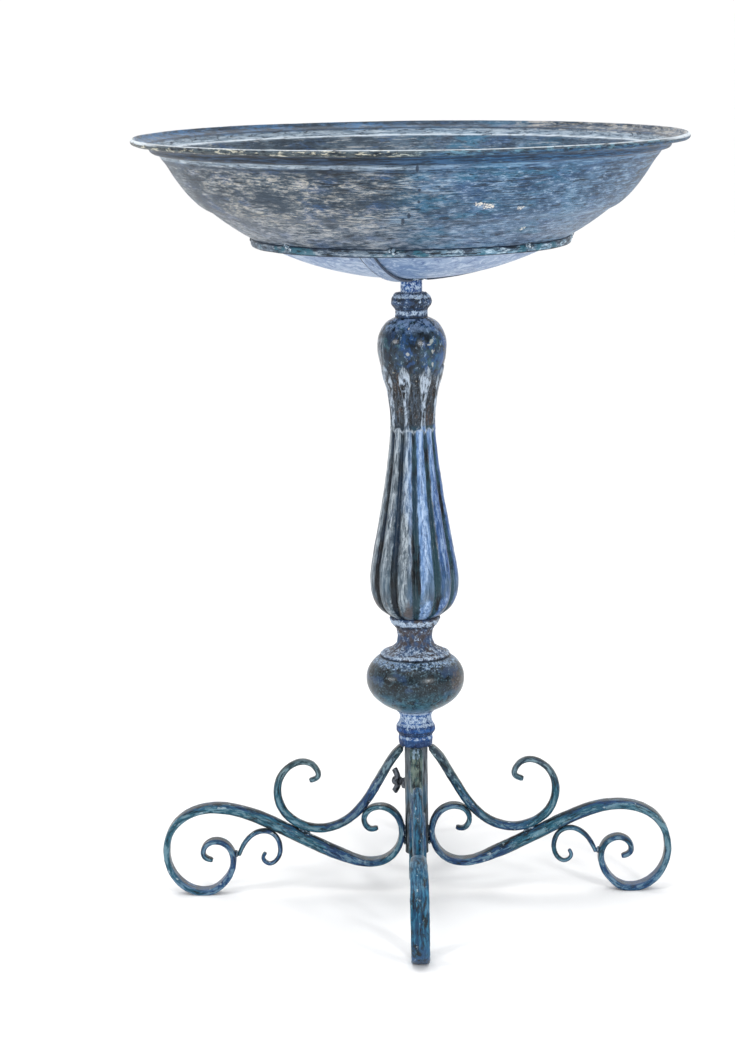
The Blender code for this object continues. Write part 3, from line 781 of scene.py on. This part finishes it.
def post_paint():
    """The post's grey and teal, brushed up and down."""
    p = Paint("post_paint")
    broad = p.noise((60, 60, 16), detail=3)
    brushed = p.noise((420, 420, 40), detail=7, rough=0.7, distort=0.3, shift=3)
    grit = p.noise((600, 600, 600), detail=4, shift=5)
    p.colour = p.mix((broad, 0.42, 0.58), (42, 48, 52), (84, 92, 98))
    p.lay((126, 138, 148), (brushed, 0.5, 0.6), 0.8)
    p.lay((44, 86, 112), (p.noise((110, 110, 34), shift=14), 0.52, 0.6), 0.6)
    p.lay(INK, (brushed, 0.45, 0.38), 0.9)
    return p.finish(p.plus(0.3, p.times(brushed, 0.2)), bumps=((brushed, 0.4, 0.6), (grit, 0.12, 0.3)))


def weld_paint():
    """Weld metal mottled dark and pale, its palest flecks painted highlights."""
    p = Paint("weld_paint")
    crust = p.noise((420, 420, 420), detail=5, rough=0.7, distort=0.8)
    p.colour = p.mix((crust, 0.42, 0.54), (20, 28, 38), (104, 128, 148))
    p.lay((206, 214, 220), (crust, 0.54, 0.62))
    return p.finish(0.42, bumps=((crust, 0.8, 0.7),))


def steel_paint():
    """Dull dark steel of the unpainted screw and nut."""
    p = Paint("dark_steel")
    stain = p.noise((260, 260, 260), detail=5)
    grit = p.noise((1500, 1500, 1500), detail=3, shift=5)
    p.colour = p.mix((stain, 0.42, 0.6), (40, 44, 50), (104, 110, 120))
    p.lay((150, 136, 122), (grit, 0.6, 0.7), 0.5)
    return p.finish(p.plus(0.3, p.times(stain, 0.25)), metallic=0.7, bumps=((grit, 0.12, 0.4),))


# ---------------------------------------------------------------- bowl

def dish_height(radius):
    return DISH_BOTTOM + DISH_RADIUS - np.sqrt(DISH_RADIUS ** 2 - np.asarray(radius, dtype=float) ** 2)


def bowl_side():
    """The bowl's outer side, from under the lip down to the centre of its underside."""
    flange = smooth_side([(240.3, 686.7), (237, 685.8), (233.4, 684.9), (231, 684)], 8)
    step = smooth_side([
        (231, 684), (229.4, 682.4), (228.6, 680.4), (227.2, 678.8), (224.6, 678), (222, 677.2),
        (220, 675.4), (218.4, 673),
    ], 26)
    wall = smooth_side([
        (218.4, 673), (214.4, 668), (209.8, 660.6), (204.4, 652.6), (198.6, 644.8), (191.6, 637.1),
        (184.2, 630.8), (DISH_REACH, float(dish_height(DISH_REACH))),
    ], 34)
    radii = DISH_REACH * (1 - np.linspace(0, 0.985, 46)[1:])
    dish = np.stack((radii, dish_height(radii)), axis=1)
    return np.concatenate((flange, step[1:], wall[1:], dish))


def offset(side, distance):
    """The side moved along its normals, towards the inside of the bowl."""
    slope = np.gradient(side, axis=0)
    length = np.hypot(slope[:, 0], slope[:, 1])[:, None]
    return side + np.stack((slope[:, 1], -slope[:, 0]), axis=1) / length * distance


def bowl_zones(radius, height, azimuth, outside, on_lip):
    """Where the bowl's paint, painted shade and painted highlights change: along its step, flange and lip,
    inside and out.
    """
    turn = np.radians(azimuth)
    at_ends = step_up(0.84, 0.95, np.abs(np.cos(turn)))
    near = step_up(0, 0.3, -np.sin(turn))
    inside = 1 - outside
    body = step_up(137, 141, radius)
    # Painted shade: a dark band under the lip's flange, a dark line at the foot of the step outside and a
    # dark line in the flange's inner corner.
    under_lip_shade = np.maximum(
        between(229.4, 230.6, 239.6, 241.6, radius), (radius < 232) * step_up(223.6, 225.2, radius)
    )
    flange = inside * between(229, 231, 240.5, 242, radius)
    # The step's ledge, outside and in, where a painted highlight is laid.
    step_foot = outside * between(218.6, 219.6, 222.6, 224.2, radius)
    inner_shelf = inside * between(219.5, 221, 227.6, 229.4, radius)
    # Painted highlight along the lip's top edge, at its left and right ends and along the near side.
    lip_painted_highlight = np.maximum(
        at_ends * step_up(242.6, 243.2, radius) * step_up(688.6, 689.4, height),
        0.7 * near * step_up(690.2, 690.6, height)
    )
    outer_painted_shade = outside * np.maximum(under_lip_shade, 0.6 * band(radius, 217.4, 1.7))
    inner_painted_shade = np.maximum(0.9 * inside * band(radius, 230.2, 1.8), 0.2 * flange)
    return {
        "wall": outside * body * step_down(215, 219, radius),
        "hem": outside * body * step_down(160, 186, radius),
        "streak": np.maximum(outside * step_up(196, 212, radius), 0.8 * flange),
        "outside": outside,
        "lip": on_lip * step_up(241.4, 242.2, radius),
        "shine": np.maximum(on_lip * lip_painted_highlight, 0.85 * inside * band(radius, 221.8, 0.9)),
        "crease": np.maximum(outer_painted_shade, inner_painted_shade),
        "shelf": np.maximum(0.85 * step_foot, inner_shelf),
        "under": outside * (1 - body),
    }


def make_bowl(paints):
    outer = bowl_side()
    inner = offset(outer, SHEET)[::-1]
    angle = np.radians(np.linspace(128, -112, 22))
    centre = (BOWL_RADIUS - LIP_RADIUS, HEIGHT - LIP_RADIUS)
    lip = np.stack((centre[0] + LIP_RADIUS * np.cos(angle), centre[1] + LIP_RADIUS * np.sin(angle)), axis=1)
    side = np.concatenate((inner, lip, outer))
    place = np.arange(len(side))[:, None] - len(inner)

    def marks(radius, height, azimuth):
        outside = (place >= len(lip) // 2) + np.zeros_like(radius)
        on_lip = (place >= 0) & (place < len(lip))
        return bowl_zones(radius, height, azimuth, outside, on_lip)

    cast("bowl_shell", "bowl", side, paints["bowl"], "bowl", "bowl_paint", [(0.35, 70, 1), (0.12, 14, 2)],
         closed=False, attributes=marks)


def make_hoop(paints):
    low, high = span("support_ring")
    inside = HOOP_RADIUS - 3
    inner_top = float(dish_height(inside)) - 0.5
    side = smooth_side([
        (HOOP_RADIUS - 0.5, high), (HOOP_RADIUS, high - 1), (HOOP_RADIUS, low + 1.2),
        (HOOP_RADIUS - 0.5, low + 0.3), (HOOP_RADIUS - 1.5, low), (inside + 0.5, low + 0.3),
        (inside, low + 1.2), (inside, inner_top - 0.8), (inside + 0.4, inner_top),
    ], 26)

    def marks(_, height, azimuth):
        # Painted shade along the hoop's top edge under the bowl and along its lower edge.
        return {"crease": np.maximum(band(height, high, 1.5), band(height, low, 1.5))}

    cast("hoop", "support_ring", side, paints["hoop"], "bowl", "cradle_paint", [(0.35, 40, 3), (0.15, 8, 4)],
         attributes=marks)
    blobs = []
    for k, turn in enumerate((-49, -7, 44, 88, 134, 177, 222, 266)):
        azimuth = FRONT + turn
        size = (2.2, 3.2 + 0.7 * math.sin(k * 2.3), 2.9)
        blobs.append((around(HOOP_RADIUS - 0.3, azimuth, high - 0.6), size, azimuth, 25))
        blobs.append((around(HOOP_RADIUS - 0.2, azimuth + 1.5, high - 3.2), (1.5, 3.6, 1.6), azimuth, 0))
    piece("hoop_welds", lumps("hoop_welds", blobs), paints["weld"], "bowl")


def make_straps(paints):
    radii = np.linspace(HOOP_RADIUS - 4.4, STUB_RADIUS + 2.6, 9)
    drop = 1.7
    line = [(r, float(dish_height(r)) - drop) for r in radii]
    sections = [(0, 2.2, 14, 9), (1, 2.2, 11, 9)]
    for side, azimuth in (("front", -107), ("right", 13), ("left", 133)):
        name = "strap_" + side
        mesh = bar(name, line, sections, 60, 24, azimuth)
        roughen(mesh, [(0.12, 12, 5)])
        piece(name, mesh, paints["strap"], "bowl", ["cradle_" + name], crease=45)


# ---------------------------------------------------------------- column

CRUST_STEPS = 176
BORE_GAP = 0.4
FINS = 4
FIN_TURN = -38


def fins(proud):
    """A casting's upright seams, standing proud of its turned shape."""
    def shape(radius, _, azimuth):
        turn = (azimuth - FRONT - FIN_TURN) * FINS / 360
        near = np.abs(turn - np.round(turn)) * 360 / FINS * np.radians(1) * radius
        return radius + (radius > TUBE_RADIUS + 2) * proud * step_down(0.35, 1.1, near)

    return shape


def crust(frost, crease):
    """Marks for a crusted casting, from two tables of bands: frost, and painted shade in its creases."""
    return lambda _, height, azimuth: {"frost": bands(height, frost), "crease": bands(height, crease)}


def make_stub(paints):
    low, high = span("bowl_stub")
    socket_top = span("top_socket")[1]
    side = [(STUB_RADIUS, high)] + [(STUB_RADIUS, z) for z in np.linspace(high - 1, low + 1, 44)]
    side += [(STUB_RADIUS - 0.4, low), (STUB_RADIUS - 1.6, low), (STUB_RADIUS - 1.6, high)]

    def marks(_, height, azimuth):
        # Painted shade on the stub where the socket's top meets it.
        return {"frost": np.full_like(height, 0.5), "crease": 0.7 * band(height, socket_top, 1.2)}

    cast("stub", "bowl_stub", side, paints["collar"], "bowl", "collar_paint", [(0.14, 3, 6)],
         steps=CRUST_STEPS, attributes=marks)
    blobs = []
    count = 14
    for k in range(count):
        azimuth = k * 360 / count + 4 * math.sin(k * 5)
        size = (1.5, 2.8, 1.1 + 0.3 * math.sin(k * 3))
        blobs.append((around(STUB_RADIUS + 0.5, azimuth, high - 0.7), size, azimuth, 0))
    piece("stub_weld", lumps("stub_weld", blobs), paints["weld"], "bowl")


def make_socket(paints):
    low, high = span("top_socket")
    side = smooth_side([
        (13.2, high), (14.6, 551.2), (16.4, 549.2), (18, 545.8), (18.2, 542.8), (17, 539.6), (15, 537.2),
        (14.4, 534.6), (14.4, 532), (14.9, low),
    ], 60)
    frost = [(1, 549.5, 3), (0.8, 534, 3.5), (0.3, 544, 1.6)]
    # The crease bands are painted shade in the socket's grooves.
    crease = [(0.9, 540.2, 2.4), (0.9, 537.2, 1.2), (0.3, 546.6, 1.6)]
    cast("socket", "top_socket", bored(side, STUB_RADIUS + 0.25, low, high), paints["dark_collar"], "column",
         "collar_paint", [(0.5, 4, 8), (0.25, 1.8, 9)], steps=CRUST_STEPS, attributes=crust(frost, crease))


def leaf_width(height):
    """Half the width of a leaf, in degrees, from the flutes' heads up to its tip."""
    heights = (430, 444, 455, 465, 473, 480, 485, LEAF_TIP)
    return np.interp(height, heights, (6.5, 5.5, 6.5, 9.5, 12.5, 10.5, 6, 0))


def baluster_relief(radius, height, azimuth):
    """(relief in mm, wear and painted highlight, pale rim and painted highlight): flutes below, leaves round
    the neck and smooth lobes above.
    """
    turn = azimuth - FRONT
    u = 2 * np.abs(((turn - FLUTE_TURN) / 360 * FLUTES) % 1 - 0.5)
    groove = (1 - np.sqrt(1 - (0.97 * u) ** 2)) / (1 - math.sqrt(1 - 0.97 ** 2))
    head = FLUTE_HEAD + 4 * np.sqrt(np.clip(1 - u ** 2, 0, 1)) - 2
    fluted = step_up(-0.6, 1, head - height)
    deep = FLUTE_DEPTH * radius * (0.45 + 0.55 * step_up(259.5, 268, height))
    leaf_turn = (turn - LEAF_TURN) / 360 * LEAVES
    inset = leaf_width(height) - np.abs(leaf_turn - np.round(leaf_turn)) * 360 / LEAVES
    leaf = step_up(-1.2, 1.6, inset) * step_up(0, 1.5, LEAF_TIP - height)
    valley = 1.5 * step_down(466, 494, height)
    proud = 0.25 + 0.75 * step_up(462, 476, height)
    above = -valley * (1 - leaf) + proud * leaf
    relief = np.where(height < FLUTE_HEAD + 6, -fluted * deep * groove + (1 - fluted) * above, above)
    relief += 0.5 * fluted * band(head - height, 1.2, 1.6)
    leaf_edge = band(inset, 0.6, 2.2) * (1 - fluted) * step_up(0, 2, LEAF_TIP + 1 - height)
    # Worn paint on the rib crests and leaves, which also carries the painted highlight along the crests.
    wear = np.maximum(fluted * (1 - u), (1 - fluted) * leaf * (0.58 + 0.42 * leaf_edge))
    # Pale rims: painted highlight under the flute heads, and pale leaf outlines and tips.
    rims = (
        0.8 * leaf_edge * step_up(455, 470, height), band(head - height, 0.8, 1.8),
        0.8 * leaf * step_up(478, 484, height)
    )
    return relief, wear, np.maximum.reduce(rims)


def make_baluster(paints):
    low, high = span("baluster")
    side = smooth_side([
        (15.2, high), (20.4, 527.2), (25.2, 522.8), (28.6, 516.8), (30.6, 510), (31, 503.4), (29.8, 493),
        (27.2, 482.2), (23.8, 468), (21.4, 451), (20.4, 434), (21.6, 416), (24, 396), (27.2, 374),
        (31, 352), (35.4, 328), (39.4, 306), (40.7, 293), (39.4, 280.6), (35, 270), (29, 263.6),
        (22.4, low),
    ], 270)
    side = np.concatenate(([(TUBE_RADIUS + BORE_GAP, low), (STUB_RADIUS + BORE_GAP, high)], side))

    def shape(radius, height, azimuth):
        return radius + np.where(radius > 14, baluster_relief(radius, height, azimuth)[0], 0)

    def marks(radius, height, azimuth):
        _, wear, rim = baluster_relief(radius, height, azimuth)
        return {"wear": wear, "rim": rim}

    cast("fluted_stem", "baluster", side, paints["column"], "column", "column_paint",
         [(0.3, 16, 11), (0.16, 5, 12)], steps=264, shape=shape, attributes=marks)


def make_cove(paints):
    low, high = span("cove_ring")
    side = smooth_side([
        (22.4, high), (23, 257.8), (22.6, 256), (20.8, 252.6), (17.6, 248.6), (15.9, 243.4), (15.8, 238),
        (17.4, 233.4), (21.4, 229.6), (26.6, 226.8), (31.2, 224.4), (31.6, low),
    ], 110)
    frost = [(0.9, 254.8, 4), (0.4, 228, 6), (0.5, 225, 1.6)]
    # Painted shade in the cove's upper hollow and along the edge of its foot.
    crease = [(0.9, 250.6, 1.6), (0.8, 223.2, 0.9)]
    cast("cove", "cove_ring", bored(side, TUBE_RADIUS + BORE_GAP, low, high), paints["cove"], "column",
         "collar_paint", [(0.5, 5, 13), (0.25, 2, 14)], steps=CRUST_STEPS, shape=fins(0.7),
         attributes=crust(frost, crease))


def make_ball(paints):
    low, high = span("ball")
    side = smooth_side([
        (31.4, high), (34, 220.9), (37, 218.4), (40.8, 213.8), (43.4, 208.2), (44.2, 202), (43.2, 194.8),
        (39.4, 187.2), (32.4, 180.2), (24.4, 175.2), (20, 173.2), (17.4, low),
    ], 120)

    def marks(radius, height, _):
        # Painted shade round the top of the ball, under the cove's foot.
        return {"crease": 0.9 * band(height, high, 1) * step_up(28, 30, radius)}

    cast("ball_shell", "ball", bored(side, TUBE_RADIUS + BORE_GAP, low, high), paints["ball"], "column",
         "column_paint", [(0.2, 14, 15), (0.08, 4, 16)], steps=192, attributes=marks)


def make_collar(paints):
    low, high = span("lower_collar")
    neck = smooth_side([
        (17.6, high), (15.6, 169.8), (14.5, 167), (14.6, 163.6), (15.6, 160.4), (17.2, 157.6), (17.7, 154.8),
        (17.2, 151.8), (15.6, 149.6),
    ], 60)
    foot = smooth_side([
        (15.6, 149.6), (15.2, 148), (15.6, 146.4), (15.4, 143), (14.9, low + 0.6), (14.5, low)
    ], 30)
    frost = [(0.8, 165, 6), (0.8, 159.2, 1.8), (0.6, 147, 2.4), (1, 171, 2), (-0.7, 154, 2.6)]
    # The crease bands are painted shade in the collar's grooves; below 146 mm the crease also makes the
    # collar darker towards the bottom.
    crease = [(0.9, 149.6, 1.3), (0.8, 152, 1.8), (0.5, 157, 1.2)]

    def marks(_, height, azimuth):
        return {
            "frost": bands(height, frost) - 1.2 * step_down(144.8, 146.2, height),
            "crease": bands(height, crease) + 0.55 * step_down(144.4, 146.2, height),
        }

    side = bored(np.concatenate((neck, foot[1:])), TUBE_RADIUS + BORE_GAP, low, high)
    cast("collar", "lower_collar", side, paints["collar"], "column", "collar_paint",
         [(0.4, 4.5, 17), (0.2, 1.8, 18)], steps=CRUST_STEPS, shape=fins(0.6), attributes=marks)


# ---------------------------------------------------------------- base

def make_legs(paints):
    for k, (side, azimuth) in enumerate(LEG_AZIMUTHS.items()):
        bars = {
            "leg": bar("leg_" + side, LEG_LINE, LEG_SECTIONS, 300, 24, azimuth, 0, 0.4, CURL_SKEW[side]),
            "brace": bar("brace_" + side, BRACE_LINE, BRACE_SECTIONS, 180, 20, azimuth),
            "spray": bar("spray_" + side, SPRAY_LINE, SPRAY_SECTIONS, 110, 16, azimuth),
        }
        for kind, mesh in bars.items():
            roughen(mesh, [(0.35, 18, 20 + k), (0.18, 5, 30 + k)])
            press_flat(mesh)
            piece(mesh.name, mesh, paints["leg"], "base", [kind + "_scroll_" + side])
        piece("leg_welds_" + side, leg_welds(side, azimuth), paints["weld"], "base")


def press_flat(mesh):
    """Keeps a bar above the ground it stands on."""
    for vertex in mesh.vertices:
        vertex.co.z = max(vertex.co.z, 0)


def leg_welds(side, azimuth):
    """Where a leg's bars meet each other and the post: distance, height, size and tilt of each weld."""
    joints = (
        (104.6, 59.2, (4.2, 3.6, 1.8), -24),
        (99.4, 56.6, (2.2, 3, 1.4), -24),
        (48.4, 78.2, (2.2, 3.2, 2), 45),
        (POST_RADIUS + 0.6, 57, (1.5, 5.2, 5.4), 0),
        (POST_RADIUS + 0.6, 48, (1.4, 3.6, 3.4), 0),
        (12.6, 137.2, (2.4, 4.8, 1.3), 20),
        (165.6, 37.2, (1.8, 2.8, 3.2), 0),
        (133, 60.6, (3.4, 2.4, 1.3), -24),
    )
    blobs = [(around(r, azimuth, z), size, azimuth, tilt) for r, z, size, tilt in joints]
    return lumps("leg_welds_" + side, blobs)


def make_post(paints):
    low, high = span("post_tube")
    bore = TUBE_RADIUS + 0.3
    head = smooth_side([(POST_RADIUS - 0.5, high), (POST_RADIUS, high - 0.8), (POST_RADIUS, high - 2)], 6)
    wall = [(POST_RADIUS, z) for z in np.linspace(high - 3, low + 2, 60)]
    foot = [(POST_RADIUS, low + 1.4), (POST_RADIUS - 0.2, low + 0.3), (POST_RADIUS - 0.8, low)]
    side = np.concatenate((head, wall, smooth_side(foot, 5), [(bore, low), (bore, high)]))
    cast("post", "post_tube", side, paints["post"], "base", "leg_paint", [(0.18, 14, 40), (0.08, 4, 41)],
         steps=120)


def make_screw(paints):
    """The wing screw: a thread, a hub and two wings, along the screw's own axis."""
    tip, thread_end, hub_end, pitch, sides = 8.3, 20.8, 28, 1, 40
    along = np.concatenate((np.linspace(tip, thread_end, 100), np.linspace(thread_end + 0.2, hub_end, 24)))
    out, turn = np.meshgrid(along, np.linspace(0, 2 * math.pi, sides, endpoint=False), indexing="ij")
    saw = np.abs(((out / pitch - turn / (2 * math.pi)) % 1) - 0.5) * 2
    hub = step_up(thread_end - 0.2, thread_end + 0.3, out)
    hub_radius = 4.4 - 0.5 * step_up(26.6, hub_end, out) ** 2 - 0.4 * step_down(20.8, 21.8, out)
    radius = (2.95 - 0.55 * saw) * (1 - hub) + hub_radius * hub
    radius = radius * (0.6 + 0.4 * step_up(tip - 0.1, tip + 0.9, out))
    across, up = radius * np.cos(turn), radius * np.sin(turn)
    c, s = math.cos(math.radians(SCREW_AZIMUTH)), math.sin(math.radians(SCREW_AZIMUTH))
    grid = np.stack((out * c - across * s, out * s + across * c, SCREW_HEIGHT + up), axis=-1)
    mesh = skin("thumb_screw", grid, caps=True)
    builder = bmesh.new()
    builder.from_mesh(mesh)
    sections = [(0, 5.4, 3.4, 4), (0.5, 5.4, 3.4, 5), (0.96, 5.4, 3.2, 5), (1, 4.8, 2.8, 4)]
    wing = ((23.4, 2), (24.7, 5.4), (26.4, 8.2), (28.3, 10.8))
    for way in (1, -1):
        line = [(r, SCREW_HEIGHT + way * rise) for r, rise in wing]
        builder.from_mesh(bar("wing", line, sections, 40, 20, SCREW_AZIMUTH))
    builder.to_mesh(mesh)
    builder.free()
    piece("thumb_screw", mesh, paints["steel"], "wing_screw", ["wing_screw"], crease=50)


def keep_cad_nodes(paints):
    """The nut and the hidden tube keep their CAD shape, with better materials; the nut's edges are eased."""
    for name in ("clamp_nut", "column_tube"):
        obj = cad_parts[name]
        obj.data.materials.clear()
        obj.data.materials.append(paints["steel"])
    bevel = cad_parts["clamp_nut"].modifiers.new("eased_edges", "BEVEL")
    bevel.width = 0.5 * MM
    bevel.segments = 2
    bevel.limit_method = "ANGLE"


# ---------------------------------------------------------------- stage

def make_floor():
    """A pale floor just under the feet, clear from below."""
    builder = bmesh.new()
    bmesh.ops.create_circle(builder, cap_ends=True, segments=96, radius=60)
    mesh = bpy.data.meshes.new("floor")
    builder.to_mesh(mesh)
    builder.free()
    floor = bpy.data.objects.new("floor", mesh)
    floor.location.z = -0.2 * MM
    bpy.context.scene.collection.objects.link(floor)
    material = bpy.data.materials.new("floor")
    material.use_nodes = True
    nodes = Nodes(material.node_tree)
    shader = nodes.tree.nodes["Principled BSDF"]
    shader.inputs["Base Color"].default_value = (0.88, 0.88, 0.88, 1)
    shader.inputs["Roughness"].default_value = 0.9
    behind = nodes.add("NewGeometry", "Backfacing", {})
    clear = nodes.add("BsdfTransparent", "BSDF", {})
    either = nodes.add("MixShader", "Shader", {"Fac": behind, 1: shader.outputs["BSDF"], 2: clear})
    nodes.put(nodes.tree.nodes["Material Output"].inputs["Surface"], either)
    mesh.materials.append(material)


def make_sky():
    """Brightest overhead, white behind the object and dimmer on the camera's side."""
    world = bpy.data.worlds.new("studio")
    bpy.context.scene.world = world
    world.use_nodes = True
    nodes = Nodes(world.node_tree)
    background = nodes.tree.nodes["Background"].inputs
    background["Color"].default_value = (1, 1, 1, 1)
    direction = nodes.add("TexCoord", "Generated", {})
    behind = nodes.window(nodes.axis("Y", direction), -0.5, 0.85, 0.14, 1.06)
    overhead = nodes.window(nodes.axis("Z", direction), 0.2, 0.9, 0, 0.95)
    seen = nodes.add("LightPath", "Is Camera Ray", {})
    light = nodes.add("Mix", "Result", {"Factor": seen, "A": nodes.plus(behind, overhead), "B": 1.06})
    nodes.put(background["Strength"], light)


def add_light(name, place, size, power):
    light = bpy.data.lights.new(name, "AREA")
    light.size = size
    light.energy = power
    obj = bpy.data.objects.new(name, light)
    obj.location = place
    aim = Vector((0, 0, 0.38)) - Vector(place)
    obj.rotation_euler = aim.to_track_quat("-Z", "Y").to_euler()
    bpy.context.scene.collection.objects.link(obj)


def make_camera():
    """A long lens from the front, level with a standing child's eye, aimed a little left of the column."""
    camera = bpy.data.objects.new("camera", bpy.data.cameras.new("camera"))
    camera.data.lens = 101.9
    camera.data.sensor_width = 36
    place = (-0.022, -2.6, 0.827)
    yaw, pitch, roll = (math.radians(angle) for angle in (-0.43, 10.46, -0.75))
    aim = Matrix.Rotation(-yaw, 4, "Z") @ Matrix.Rotation(math.radians(90) - pitch, 4, "X")
    camera.matrix_world = Matrix.Translation(place) @ aim @ Matrix.Rotation(roll, 4, "Z")
    bpy.context.scene.collection.objects.link(camera)
    bpy.context.scene.camera = camera


def main():
    paints = {
        "bowl": bowl_paint(),
        "hoop": hoop_paint(),
        "strap": strap_paint(),
        "weld": weld_paint(),
        "collar": crust_paint("collar_paint", (18, 56, 112), (36, 84, 144)),
        "dark_collar": crust_paint("socket_paint", (30, 38, 48), (46, 70, 104), -0.02),
        "cove": crust_paint("cove_paint", (66, 62, 66), (50, 74, 108), 0),
        "column": column_paint(),
        "ball": ball_paint(),
        "leg": leg_paint(),
        "post": post_paint(),
        "steel": steel_paint(),
    }
    make_floor()
    make_sky()
    add_light("key", (1.3, -2.2, 1), 0.36, 32)
    add_light("fill", (-2.2, -1.25, 1), 0.36, 22)
    add_light("top", (-0.3, -0.7, 2.6), 1.2, 20)
    bpy.context.scene.view_settings.view_transform = "Standard"
    make_camera()
    for make in (make_bowl, make_hoop, make_straps, make_stub, make_socket, make_baluster, make_cove,
                 make_ball, make_collar, make_legs, make_post, make_screw, keep_cad_nodes):
        make(paints)


main()
